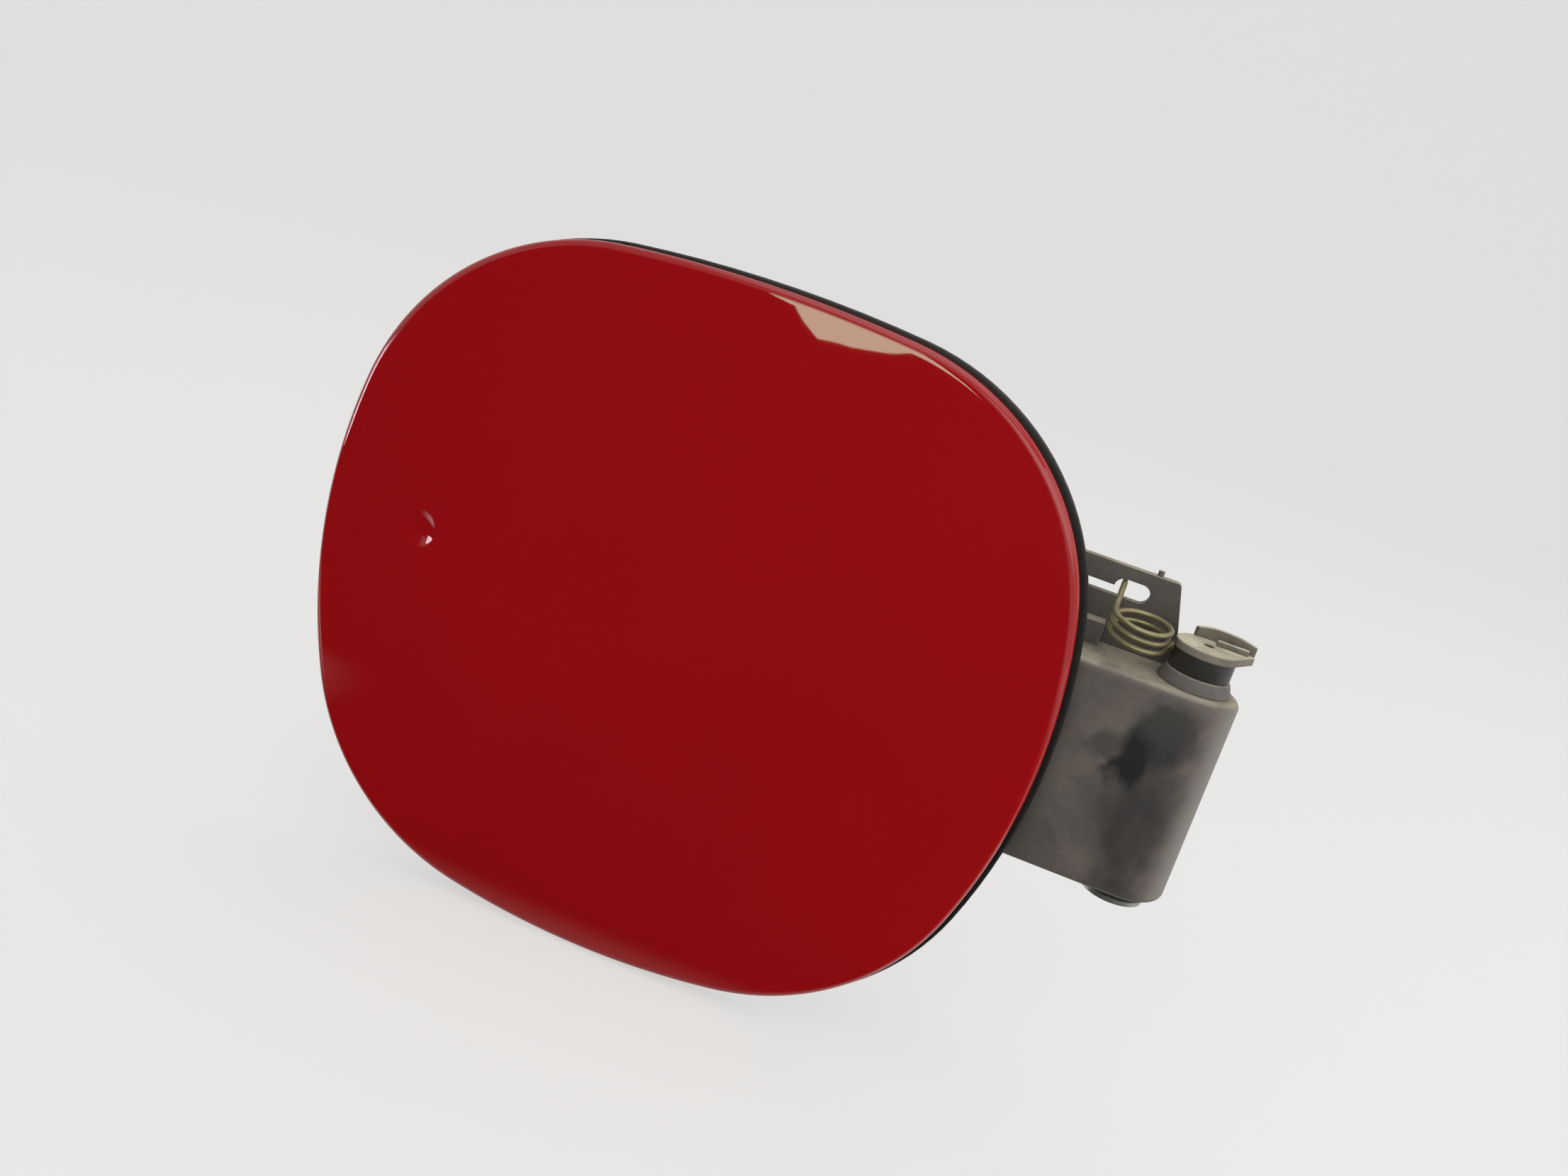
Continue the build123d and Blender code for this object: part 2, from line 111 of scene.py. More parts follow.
def add_node(material, kind, inputs=None, **settings):
    """Adds a node with its settings; an input is a value or another node's socket."""
    tree = material.node_tree
    made = tree.nodes.new(kind)
    for key, value in settings.items():
        setattr(made, key, value)
    for key, value in (inputs or {}).items():
        if isinstance(value, bpy.types.NodeSocket):
            tree.links.new(value, made.inputs[key])
        else:
            made.inputs[key].default_value = value
    return made


def new_material(name):
    """An empty material, and the object coordinates that its patterns follow."""
    material = bpy.data.materials.new(name)
    material.use_nodes = True
    material.node_tree.nodes.clear()
    coordinates = add_node(material, "ShaderNodeTexCoord")
    return material, coordinates.outputs["Object"]


def close_material(material, surface):
    """Joins a surface to the material's output."""
    add_node(material, "ShaderNodeOutputMaterial", {"Surface": surface})
    print("material", material.name, "with", len(material.node_tree.nodes), "nodes")


def per_metre(size_mm):
    """A noise scale that gives one feature in a size in millimetres."""
    return 1000 / size_mm


print("middle grey #808080 is", round(linear("#808080")[0], 3), "of white light")

# %% [markdown]
# ## Red car paint
# The flap is steel with a solid red base coat under a clear coat. The base gives the deep colour, and
# the clear coat gives sharp reflections. A sprayed coat is never quite flat: its orange peel has waves a
# few millimetres long, which make the edges of a reflection waver. The colour is a little uneven too,
# as old paint is.

# %% Make the red paint
FADE_MM = 60
PEEL_MM = 6.0
PEEL_DEPTH_MM = 0.3

paint, place = new_material("solid_red_car_paint_clear_coated")
fade = add_node(paint, "ShaderNodeTexNoise", {"Vector": place, "Scale": per_metre(FADE_MM), "Detail": 2.0})
red = add_node(paint, "ShaderNodeMix", {
    "Factor": fade.outputs["Fac"], "A": linear("#9C1014"), "B": linear("#A81318"),
}, data_type="RGBA")
peel = add_node(paint, "ShaderNodeTexNoise", {"Vector": place, "Scale": per_metre(PEEL_MM), "Detail": 1.0})
peel_bump = add_node(paint, "ShaderNodeBump", {
    "Height": peel.outputs["Fac"], "Strength": 0.015, "Distance": PEEL_DEPTH_MM * MM,
})
paint_shader = add_node(paint, "ShaderNodeBsdfPrincipled", {
    "Base Color": red.outputs["Result"],
    "Roughness": 0.5,
    "Specular IOR Level": 0.0,
    "Coat Weight": 1.0,
    "Coat Roughness": 0.02,
    "Coat IOR": 1.5,
    "Coat Normal": peel_bump.outputs["Normal"],
})
close_material(paint, paint_shader.outputs["BSDF"])

# %% [markdown]
# ## Dusty black mouldings
# The arm, the carrier, the pin and the bushes are moulded black plastic. After years beside a fuel cap, road
# dust has settled on every face that looks up and clings as a brown film to the upright faces, with darker
# patches where a hand or splashed fuel has wiped it off. Dust scatters light, so it is rougher than the
# plastic. The film is a smear of noise. A painted mask could place the wiped patches but would need a
# picture, so each patch is a soft ellipsoid instead, and a second noise frays its edge.

# %% Draw the film of dust
FRAY_MM = 12.0
FRAY_GRAIN_MM = 8
THIN_FILM_BLUR_MM = 0.1
THIN_FILM_SHARE = 0.12


def film_pattern(material, place, smear_mm, spots, thin_film_below):
    """How much film is left: smeared all over, wiped off in spots, and thin below a given height."""
    smear = add_node(material, "ShaderNodeTexNoise", {
        "Vector": place, "Scale": per_metre(smear_mm), "Detail": 4.0, "Roughness": 0.55, "Distortion": 0.5,
    })
    cover = add_node(material, "ShaderNodeMapRange", {
        "Value": smear.outputs["Fac"], "From Min": 0.3, "From Max": 0.62, "To Min": 0.55, "To Max": 1.0,
    }, interpolation_type="SMOOTHSTEP").outputs["Result"]
    fray = add_node(material, "ShaderNodeTexNoise", {
        "Vector": place, "Scale": per_metre(FRAY_GRAIN_MM), "Detail": 4.0, "Roughness": 0.6,
    })
    frayed = add_node(material, "ShaderNodeVectorMath", {
        0: fray.outputs["Color"], 1: [FRAY_MM * MM] * 3, 2: place,
    }, operation="MULTIPLY_ADD")
    for centre, half_sizes, left in spots:
        away = add_node(material, "ShaderNodeVectorMath", {
            0: frayed.outputs["Vector"], 1: [(c + FRAY_MM / 2) * MM for c in centre],
        }, operation="SUBTRACT")
        share = add_node(material, "ShaderNodeVectorMath", {
            0: away.outputs["Vector"], 1: [size * MM for size in half_sizes],
        }, operation="DIVIDE")
        reach = add_node(material, "ShaderNodeVectorMath", {0: share.outputs["Vector"]}, operation="LENGTH")
        kept = add_node(material, "ShaderNodeMapRange", {
            "Value": reach.outputs["Value"], "From Min": 0.5, "From Max": 1.25, "To Min": left, "To Max": 1.0,
        }, interpolation_type="SMOOTHSTEP")
        cover = add_node(material, "ShaderNodeMath", {
            0: cover, 1: kept.outputs["Result"],
        }, operation="MULTIPLY").outputs["Value"]
    height = add_node(material, "ShaderNodeSeparateXYZ", {"Vector": place})
    film_above_cut = add_node(material, "ShaderNodeMapRange", {
        "Value": height.outputs["Z"],
        "From Min": (thin_film_below - THIN_FILM_BLUR_MM) * MM, "From Max": (thin_film_below + THIN_FILM_BLUR_MM) * MM,
        "To Min": THIN_FILM_SHARE, "To Max": 1.0,
    })
    return add_node(material, "ShaderNodeMath", {
        0: cover, 1: film_above_cut.outputs["Result"],
    }, operation="MULTIPLY").outputs["Value"]


print("wiped edges fray over", FRAY_MM, "mm")

# %% Let dust settle on what looks up
DRIFT_MM = 8


def settled_layer(material, place, facing, top_share):
    """How thick dust lies: not at all on an upright face, and in drifts on one that looks up."""
    thick = add_node(material, "ShaderNodeMapRange", {
        "Value": facing.outputs["Z"], "From Min": 0.4, "From Max": 0.95, "To Min": 0.0, "To Max": top_share,
    }, interpolation_type="SMOOTHSTEP")
    drift = add_node(material, "ShaderNodeTexNoise", {
        "Vector": place, "Scale": per_metre(DRIFT_MM), "Detail": 3.0,
    })
    drifted = add_node(material, "ShaderNodeMapRange", {
        "Value": drift.outputs["Fac"], "From Min": 0.35, "From Max": 0.6, "To Min": 0.5, "To Max": 1.0,
    }, interpolation_type="SMOOTHSTEP")
    return add_node(material, "ShaderNodeMath", {
        0: thick.outputs["Result"], 1: drifted.outputs["Result"],
    }, operation="MULTIPLY").outputs["Value"]


print("dust drifts are", DRIFT_MM, "mm apart")

# %% Put plastic, film and dust together
SPECK_MM = 1.5
GRAIN_MM = 0.6
GRAIN_DEPTH_MM = 0.2
END_GREY_AND_PAINTED_LIGHT = "#8C8B84"
NO_THIN_FILM_HEIGHT = -1000


def dusty_plastic(
        name, plastic, film, dust, film_share, top_share, smear_mm, spots=(), thin_film_below=NO_THIN_FILM_HEIGHT,
        lit_end_share=0.0, gloss=0.5):
    """Dusty black plastic, dustier where it looks up; its outer end is greyer, partly paler dust, partly
    painted light.
    """
    material, place = new_material(name)
    own = add_node(material, "ShaderNodeTexCoord")
    facing = add_node(material, "ShaderNodeSeparateXYZ", {"Vector": own.outputs["Normal"]})
    specks = add_node(material, "ShaderNodeTexNoise", {
        "Vector": place, "Scale": per_metre(SPECK_MM), "Detail": 5.0, "Roughness": 0.7,
    })
    speckled = add_node(material, "ShaderNodeMapRange", {
        "Value": specks.outputs["Fac"], "From Min": 0.3, "From Max": 0.7, "To Min": 0.72, "To Max": 1.0,
    })
    thin = add_node(material, "ShaderNodeMath", {
        0: film_pattern(material, place, smear_mm, spots, thin_film_below), 1: film_share,
    }, operation="MULTIPLY")
    filmed = add_node(material, "ShaderNodeMath", {
        0: thin.outputs["Value"], 1: speckled.outputs["Result"],
    }, operation="MULTIPLY")
    under = add_node(material, "ShaderNodeMix", {
        "Factor": filmed.outputs["Value"], "A": linear(plastic), "B": linear(film),
    }, data_type="RGBA")
    # Faces that look towards +X, the arm's outer end, turn paler grey: partly paler dust, partly a painted
    # highlight for the light from the right.
    painted_light_end = add_node(material, "ShaderNodeMapRange", {
        "Value": facing.outputs["X"], "From Min": 0.45, "From Max": 1.0, "To Min": 0.0, "To Max": lit_end_share,
    }, interpolation_type="SMOOTHSTEP")
    greyed_and_lit = add_node(material, "ShaderNodeMix", {
        "Factor": painted_light_end.outputs["Result"], "A": under.outputs["Result"], "B": linear(END_GREY_AND_PAINTED_LIGHT),
    }, data_type="RGBA")
    settled = add_node(material, "ShaderNodeMath", {
        0: settled_layer(material, place, facing, top_share), 1: speckled.outputs["Result"],
    }, operation="MULTIPLY")
    colour = add_node(material, "ShaderNodeMix", {
        "Factor": settled.outputs["Value"], "A": greyed_and_lit.outputs["Result"], "B": linear(dust),
    }, data_type="RGBA")
    cover = add_node(material, "ShaderNodeMath", {
        0: filmed.outputs["Value"], 1: settled.outputs["Value"],
    }, operation="MAXIMUM")
    roughness = add_node(material, "ShaderNodeMapRange", {
        "Value": cover.outputs["Value"], "From Min": 0.0, "From Max": 0.8, "To Min": 0.4, "To Max": 0.8,
    })
    grain = add_node(material, "ShaderNodeTexNoise", {
        "Vector": place, "Scale": per_metre(GRAIN_MM), "Detail": 2.0,
    })
    grain_bump = add_node(material, "ShaderNodeBump", {
        "Height": grain.outputs["Fac"], "Strength": 0.12, "Distance": GRAIN_DEPTH_MM * MM,
    })
    shader = add_node(material, "ShaderNodeBsdfPrincipled", {
        "Base Color": colour.outputs["Result"],
        "Roughness": roughness.outputs["Result"],
        "Normal": grain_bump.outputs["Normal"],
        "IOR": 1.5,
        "Specular IOR Level": gloss,
    })
    close_material(material, shader.outputs["BSDF"])
    return material


print("the moulding's grain is", GRAIN_MM, "mm, and the dust's specks are", SPECK_MM, "mm")

# %% Dust the four mouldings
# Each wiped spot on the arm has a centre, half sizes in millimetres and the share of the film left in it.
WIPED_SPOTS = [
    ((-7.5, -10.5, 35), (4.2, 12, 7), 0.03),
    ((-15, -10.5, 36), (5, 12, 4), 0.45),
    ((-2, -10.5, 42), (8.5, 12, 8), 0.25),
    ((-1.5, -10.5, 23), (8.5, 12, 17), 0.4),
    ((-0.5, -10.5, 5), (7.5, 12, 5), 0.55),
    ((-20, 9, 64), (18, 5, 11), 0.95),
    ((-11, 9, 64), (7, 5, 8), 0.65)]
NECK_TOP_Z = 59.05
LOWER_BUSH_SHELTER_Z = 10

# The arm looks grey-brown and dull, with soft dark patches where the black shows through.
# Its outer end is painted paler grey, partly paler dust and partly painted light from the right.
arm_plastic = dusty_plastic(
    "moulded_black_polyamide_dusty", "#1E1B22", "#756A62", "#AEA590", film_share=0.95, top_share=0.95,
    smear_mm=20, spots=WIPED_SPOTS, lit_end_share=0.65)
# The carrier is sheltered by the skin, so it stays nearly black, with little gloss.
carrier_plastic = dusty_plastic(
    "moulded_black_polypropylene", "#131111", "#242120", "#3A3632", film_share=0.6, top_share=0.4,
    smear_mm=40, gloss=0.2)
# The pin's head lies open to the dust and is pale; from the head down, on its neck and its shaft, the film is
# cut thin and the pin looks black.
pin_plastic = dusty_plastic(
    "moulded_black_acetal_dusty_head", "#1A1819", "#9A8F7E", "#D6CCB2", film_share=0.7, top_share=0.98,
    smear_mm=9, thin_film_below=NECK_TOP_Z)
# The upper bush's collar is as grey-brown as the arm, and the lower flange is clean.
bush_plastic = dusty_plastic(
    "moulded_black_acetal_dusty", "#161515", "#756D67", "#A0988A", film_share=0.9, top_share=0.8,
    smear_mm=9, thin_film_below=LOWER_BUSH_SHELTER_Z)

# %% [markdown]
# ## Metals and rubber
# The spring is drawn steel wire with yellowish passivated zinc, dulled by dust. The screws, the clip and
# the striker have bright zinc with pale blotches of white rust. Zinc tarnishes unevenly, so one noise drives
# both its colour and its gloss. The buffers are soft black rubber, which blooms grey and hardly shines.

# %% Make the metals and the rubber
BLOOM_MM = 4


def zinc(name, bright, dull, blotch_mm, smooth, rough):
    """Zinc on steel: metal whose colour and gloss vary in blotches."""
    material, place = new_material(name)
    blotch = add_node(material, "ShaderNodeTexNoise", {
        "Vector": place, "Scale": per_metre(blotch_mm), "Detail": 4.0, "Roughness": 0.6,
    })
    colour = add_node(material, "ShaderNodeMix", {
        "Factor": blotch.outputs["Fac"], "A": linear(bright), "B": linear(dull),
    }, data_type="RGBA")
    roughness = add_node(material, "ShaderNodeMapRange", {
        "Value": blotch.outputs["Fac"], "From Min": 0.3, "From Max": 0.7, "To Min": smooth, "To Max": rough,
    })
    shader = add_node(material, "ShaderNodeBsdfPrincipled", {
        "Base Color": colour.outputs["Result"],
        "Metallic": 0.9,
        "Roughness": roughness.outputs["Result"],
    })
    close_material(material, shader.outputs["BSDF"])
    return material


wire_zinc = zinc("drawn_steel_wire_yellow_zinc", "#AEA27F", "#7F765C", blotch_mm=3, smooth=0.45, rough=0.65)
bright_zinc = zinc("zinc_plated_steel", "#C9C9C4", "#98968E", blotch_mm=5, smooth=0.28, rough=0.5)
rubber, place = new_material("moulded_black_rubber")
bloom = add_node(rubber, "ShaderNodeTexNoise", {"Vector": place, "Scale": per_metre(BLOOM_MM), "Detail": 4.0})
rubber_colour = add_node(rubber, "ShaderNodeMix", {
    "Factor": bloom.outputs["Fac"], "A": linear("#141414"), "B": linear("#2E2C2A"),
}, data_type="RGBA")
rubber_shader = add_node(rubber, "ShaderNodeBsdfPrincipled", {
    "Base Color": rubber_colour.outputs["Result"], "Roughness": 0.75, "IOR": 1.52,
})
close_material(rubber, rubber_shader.outputs["BSDF"])

# %% [markdown]
# ## The outer skin
# The real skin is pressed from sheet steel: a shallow dome with a tightly rounded edge. Its outline is
# eight arcs, four corners and four bowed sides, which a compass draws in one go. Here a single point is
# spun round each arc's centre in turn. The outline is then filled, drawn out, rounded with a bevel and
# domed, and the sheet gets its thickness at the end.

# %% Draw the outline
DOOR_X = -108.4
DOOR_Z = 27.65
CORNER_RADIUS = 55.98
CORNERS = [Vector((-26.5, 20.3)), Vector((26.5, 20.3)), Vector((23.8, -20.3)), Vector((-23.8, -20.3))]
BOWS = [1.4, 2.8, 2.0, 2.8]
ARC_STEPS = 32
OUTLINE_MERGE_MM = 0.001


def picked(geom, kind):
    """The vertices or edges among an operator's results."""
    return [g for g in geom if isinstance(g, kind)]


def outline_arcs():
    """Centre, radius, first bearing and turn of each arc, clockwise from the top side."""
    sides = []
    for i, bow in enumerate(BOWS):
        start, end = CORNERS[i], CORNERS[(i + 1) % 4]
        chord = (end - start).length
        radius = chord**2 / (8 * bow) + bow / 2
        outward = Vector((start.y - end.y, end.x - start.x)).normalized()
        outward = outward if outward.dot(start + end) > 0 else -outward
        half_turn = asin(chord / 2 / radius)
        middle = atan2(outward.y, outward.x)
        centre = (start + end) / 2 - outward * (radius - bow)
        sides.append((centre, radius + CORNER_RADIUS, middle + half_turn, 2 * half_turn))
    arcs = []
    for i, (centre, radius, first, turn) in enumerate(sides):
        corner_first = first - turn
        corner_turn = (corner_first - sides[(i + 1) % 4][2]) % (2 * pi)
        arcs.append((centre, radius, first, turn))
        arcs.append((CORNERS[(i + 1) % 4], CORNER_RADIUS, corner_first, corner_turn))
    return arcs


def spin_outline(bm, arcs, y):
    """Spins one point round every arc in turn, which leaves the closed outline at depth y."""
    centre, radius, first, _ = arcs[0]
    tip = bm.verts.new((DOOR_X + centre.x + radius * cos(first), y, DOOR_Z + centre.y + radius * sin(first)))
    for centre, _, _, turn in arcs:
        spun = bmesh.ops.spin(
            bm, geom=[tip], cent=(DOOR_X + centre.x, y, DOOR_Z + centre.y), axis=(0, 1, 0),
            angle=turn, steps=ARC_STEPS)
        tip = picked(spun["geom_last"], bmesh.types.BMVert)[0]
    bmesh.ops.remove_doubles(bm, verts=bm.verts, dist=OUTLINE_MERGE_MM)


door_arcs = outline_arcs()
print("outline of", len(door_arcs), "arcs, side radii", [round(arc[1]) for arc in door_arcs[::2]], "mm")

# %% Press the skin
SKIN_BACK = -18.5
DOME_TOP = -26.68
EDGE_ROUND = 1.8
EDGE_SEGMENTS = 10
RINGS = 36
FIRST_SHARE = 0.997


def round_off(bm, edges, width, segments, measure="OFFSET"):
    """Rounds chosen edges with a bevel of a width in millimetres."""
    bmesh.ops.bevel(
        bm, geom=edges, offset=width, offset_type=measure, affect="EDGES", segments=segments,
        profile=0.5, material=-1, clamp_overlap=False)


def draw_out(bm, edges, way=(0, 0, 0)):
    """Extrudes a loop of edges, moves the new loop along a way, and returns the new loop's edges."""
    drawn = bmesh.ops.extrude_edge_only(bm, edges=edges)["geom"]
    moved = picked(drawn, bmesh.types.BMVert)
    bmesh.ops.translate(bm, vec=way, verts=moved)
    return [e for e in picked(drawn, bmesh.types.BMEdge) if all(v in moved for v in e.verts)]


skin = bmesh.new()
spin_outline(skin, door_arcs, SKIN_BACK)
blank = bmesh.ops.contextual_create(skin, geom=skin.edges)["faces"]
drawn = bmesh.ops.extrude_face_region(skin, geom=blank, use_keep_orig=False)["geom"]
bmesh.ops.translate(skin, vec=(0, DOME_TOP - SKIN_BACK, 0), verts=picked(drawn, bmesh.types.BMVert))
rim = [e for e in skin.edges if all(abs(v.co.y - DOME_TOP) < 1e-6 for v in e.verts)]
round_off(skin, rim, EDGE_ROUND, EDGE_SEGMENTS)
print("pressed blank:", len(skin.faces), "faces")

# %% Fill the front with rings
# The flat front is one big face, which couldn't bend. Rings that shrink to the middle take its place, and a
# thin first ring keeps the rounded edge's shading off the front.
front = max(skin.faces, key=lambda f: len(f.verts) if f.calc_center_median().y < DOME_TOP + 0.1 else 0)
loop = list(front.edges)
bmesh.ops.delete(skin, geom=[f for f in skin.faces if len(f.verts) > 4], context="FACES_ONLY")
to_middle = Matrix.Translation(-Vector((DOOR_X, DOME_TOP, DOOR_Z)))
shares = [FIRST_SHARE] + [(left - 1) / left for left in range(RINGS, 0, -1)]
for share in shares:
    loop = draw_out(skin, loop)
    ring_verts = list(dict.fromkeys(v for e in loop for v in e.verts))
    bmesh.ops.scale(skin, vec=(share, 1, share), space=to_middle, verts=ring_verts)
bmesh.ops.remove_doubles(skin, verts=skin.verts, dist=OUTLINE_MERGE_MM)
print("skin rings", RINGS, "faces", len(skin.faces))

# %% [markdown]
# ### Dome and ding
# The dome is part of a big sphere. The ding near the free edge is a small round bowl, as a knob leaves it,
# and its lip is rounded where the sheet bends back. The faces around it are cut finer first, so that the
# dent has enough points to be smooth.

# %% Dome the skin and dent it
DOME_RADIUS = 900.0
SHEET_MM = 0.8
DING_X = DOOR_X - 60.0
DING_Z = DOOR_Z + 3.7
DING_RADIUS = 11.0
DING_DEPTH = 0.9
DING_LIP = 2.0
DING_REACH = sqrt((DING_RADIUS + DING_LIP) ** 2 - (DING_RADIUS + DING_LIP - DING_DEPTH) ** 2)
BOWL_REACH = DING_REACH * DING_RADIUS / (DING_RADIUS + DING_LIP)
FINE_REACH = 1.9 * DING_REACH
FINE_CUTS = 9


def ding_distance(point):
    """How far a point is from the ding's centre, seen from the front."""
    return hypot(point.x - DING_X, point.z - DING_Z)


def ding_drop(away):
    """How far the ding lies below the dome at a distance from its centre."""
    if away < BOWL_REACH:
        return DING_DEPTH - DING_RADIUS + sqrt(DING_RADIUS**2 - away**2)
    if away < DING_REACH:
        return DING_LIP - sqrt(DING_LIP**2 - (DING_REACH - away) ** 2)
    return 0.0


near_ding = [
    e for e in skin.edges
    if all(ding_distance(v.co) < FINE_REACH and v.co.y < DOME_TOP + 0.5 for v in e.verts)]
bmesh.ops.subdivide_edges(skin, edges=near_ding, cuts=FINE_CUTS, use_grid_fill=True)
for vert in skin.verts:
    if vert.co.y < SKIN_BACK - 0.01:
        reach = hypot(vert.co.x - DOOR_X, vert.co.z - DOOR_Z)
        vert.co.y += DOME_RADIUS - sqrt(DOME_RADIUS**2 - reach**2)
        vert.co.y += ding_drop(ding_distance(vert.co))
skin_piece = finish_piece("outer_skin_pressing", skin, paint, "door", ["outer_skin"], sharp=50)
sheet_wall = skin_piece.modifiers.new("sheet_thickness", "SOLIDIFY")
sheet_wall.thickness = SHEET_MM * MM
sheet_wall.offset = -1.0
low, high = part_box("outer_skin")
print("skin CAD box", [round(c / MM, 2) for c in (*low, *high)])

# %% [markdown]
# ## Mouldings and the striker
# The arm, the carrier and the striker already have their true shapes in the CAD model, but their edges are
# perfectly sharp. Real moulded and stamped edges are always a little round, and the round catches light.
# So each is a merged copy of its CAD mesh with its flat faces joined up and its edges bevelled.

# %% Soften the mouldings and the striker
FLAT_ANGLE = radians(0.2)


def round_edges(bm, width, segments=2, corner=32):
    """Bevels every edge that turns by more than a corner angle."""
    edges = [e for e in bm.edges if len(e.link_faces) == 2 and e.calc_face_angle() > radians(corner)]
    round_off(bm, edges, width, segments, measure="ABSOLUTE")


def softened(name, node, material, body, width):
    """A merged copy of a CAD node, with its sharp edges rounded by a small width in millimetres."""
    bm = bmesh.new()
    bm.from_mesh(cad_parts[node].data)
    bmesh.ops.scale(bm, vec=(1 / MM, 1 / MM, 1 / MM), verts=bm.verts)
    bmesh.ops.remove_doubles(bm, verts=bm.verts, dist=MERGE_MM)
    bmesh.ops.dissolve_limit(bm, angle_limit=FLAT_ANGLE, verts=bm.verts, edges=bm.edges)
    round_edges(bm, width)
    finish_piece(name, bm, material, body, [node], recalculate=False)


softened("carrier_moulding", "inner_panel", carrier_plastic, "door", width=0.3)
softened("gooseneck_arm", "hinge_arm", arm_plastic, "door", width=0.35)
softened("lock_striker", "striker", bright_zinc, "door", width=0.2)

# %% [markdown]
# ## Turned pieces
# The bushes, the pin's shaft, the screws and the buffers are round. A lathe would turn them from a
# profile, and a full spin of half a profile does the same.

# %% Turn the bushes
TURN_STEPS = 64
SHELF_Z = 51.65
ARM_BOTTOM_Z = 3.65
BUSH_LENGTH = 14.0
BUSH_RADIUS = 5.5
BUSH_BORE = 4.05
COLLAR_RADIUS = 8.2
COLLAR_TOP_RADIUS = 6.99
COLLAR_TOP = 54.65
LOWER_FLANGE_RADIUS = 7.5
LOWER_FLANGE_Z = 2.25


def turned(profile, closed=False):
    """Spins a profile of radius and height round the Z axis."""
    bm = bmesh.new()
    points = [bm.verts.new((radius, 0, height)) for radius, height in profile]
    for start, end in zip(points, points[1:]):
        bm.edges.new((start, end))
    if closed:
        bm.edges.new((points[-1], points[0]))
    bmesh.ops.spin(
        bm, geom=bm.verts[:] + bm.edges[:], cent=(0, 0, 0), axis=(0, 0, 1), angle=2 * pi,
        steps=TURN_STEPS, use_merge=True)
    bmesh.ops.remove_doubles(bm, verts=bm.verts, dist=MERGE_MM)
    bmesh.ops.recalc_face_normals(bm, faces=bm.faces)
    return bm


collar = turned([
    (BUSH_BORE, SHELF_Z - BUSH_LENGTH), (BUSH_RADIUS, SHELF_Z - BUSH_LENGTH), (BUSH_RADIUS, SHELF_Z),
    (COLLAR_RADIUS, SHELF_Z), (COLLAR_TOP_RADIUS, COLLAR_TOP), (BUSH_BORE, COLLAR_TOP)], closed=True)
round_edges(collar, width=0.4, segments=3)
finish_piece("upper_flanged_bush", collar, bush_plastic, "door", ["upper_bush"])
foot = turned([
    (BUSH_BORE, LOWER_FLANGE_Z), (LOWER_FLANGE_RADIUS, LOWER_FLANGE_Z), (LOWER_FLANGE_RADIUS, ARM_BOTTOM_Z),
    (BUSH_RADIUS, ARM_BOTTOM_Z), (BUSH_RADIUS, ARM_BOTTOM_Z + BUSH_LENGTH),
    (BUSH_BORE, ARM_BOTTOM_Z + BUSH_LENGTH)], closed=True)
round_edges(foot, width=0.3, segments=3)
finish_piece("lower_flanged_bush", foot, bush_plastic, "door", ["lower_bush"])

# %% [markdown]
# ## The pivot pin
# The pin is a turned shaft with a thick neck and a head shaped like a small flag, which keeps it from
# turning in the car's bracket. The head's outline is most of a circle drawn out to a tip. A low wall runs
# along its back edge, and a rib lies in front of the wall.

# %% Turn the shaft
PIN_RADIUS = 4.0
PIN_CHAMFER = 0.4
SOCKET_RADIUS = 2.0
SOCKET_DEPTH = 14.0
GROOVE_DEPTH = 0.6
GROOVE_FROM = 1.0
GROOVE_TO = 2.1
NECK_RADIUS = 6.7
NECK_Z = 54.85
HEAD_Z = NECK_TOP_Z

pin = turned([
    (0, SOCKET_DEPTH), (SOCKET_RADIUS, SOCKET_DEPTH), (SOCKET_RADIUS, 0), (PIN_RADIUS - PIN_CHAMFER, 0),
    (PIN_RADIUS, PIN_CHAMFER), (PIN_RADIUS, GROOVE_FROM), (PIN_RADIUS - GROOVE_DEPTH, GROOVE_FROM),
    (PIN_RADIUS - GROOVE_DEPTH, GROOVE_TO), (PIN_RADIUS, GROOVE_TO), (PIN_RADIUS, NECK_Z),
    (NECK_RADIUS, NECK_Z), (NECK_RADIUS, HEAD_Z)])
round_edges(pin, width=0.12)
print("pin shaft:", len(pin.faces), "faces")

# %% Add the head
HEAD_TOP = 60.85
HEAD_RADIUS = 7.0
HEAD_ROUND = 0.5
HEAD_STEPS = 48
TIP_FRONT = Vector((10.2, 3.8))
TIP_BACK = Vector((10.2, 5.2))


def tangent_bearing(tip, way):
    """Bearing of the point where a line from the tip touches the head's circle."""
    return atan2(tip.y, tip.x) + way * acos(HEAD_RADIUS / tip.length)


back_bearing = tangent_bearing(TIP_BACK, 1)
front_bearing = tangent_bearing(TIP_FRONT, -1)
neck_top = [e for e in pin.edges if e.is_boundary]
first = pin.verts.new((HEAD_RADIUS * cos(back_bearing), HEAD_RADIUS * sin(back_bearing), HEAD_Z))
spun = bmesh.ops.spin(
    pin, geom=[first], cent=(0, 0, HEAD_Z), axis=(0, 0, 1), steps=HEAD_STEPS,
    angle=2 * pi + front_bearing - back_bearing)
last = picked(spun["geom_last"], bmesh.types.BMVert)[0]
tip_front = pin.verts.new((*TIP_FRONT, HEAD_Z))
tip_back = pin.verts.new((*TIP_BACK, HEAD_Z))
for start, end in ((last, tip_front), (tip_front, tip_back), (tip_back, first)):
    pin.edges.new((start, end))
under_edge = [e for e in pin.edges if not e.link_faces]
bmesh.ops.triangle_fill(pin, edges=neck_top + under_edge, use_beauty=True)
top_edge = draw_out(pin, under_edge, (0, 0, HEAD_TOP - HEAD_Z))
bmesh.ops.contextual_create(pin, geom=top_edge)
round_off(pin, top_edge, HEAD_ROUND, segments=3)
print("pin shaft and head:", len(pin.faces), "faces")

# %% Sink the hole in the head
HOLE_RADIUS = 1.2
HOLE_DEPTH = 4.5
HOLE_SIDES = 32


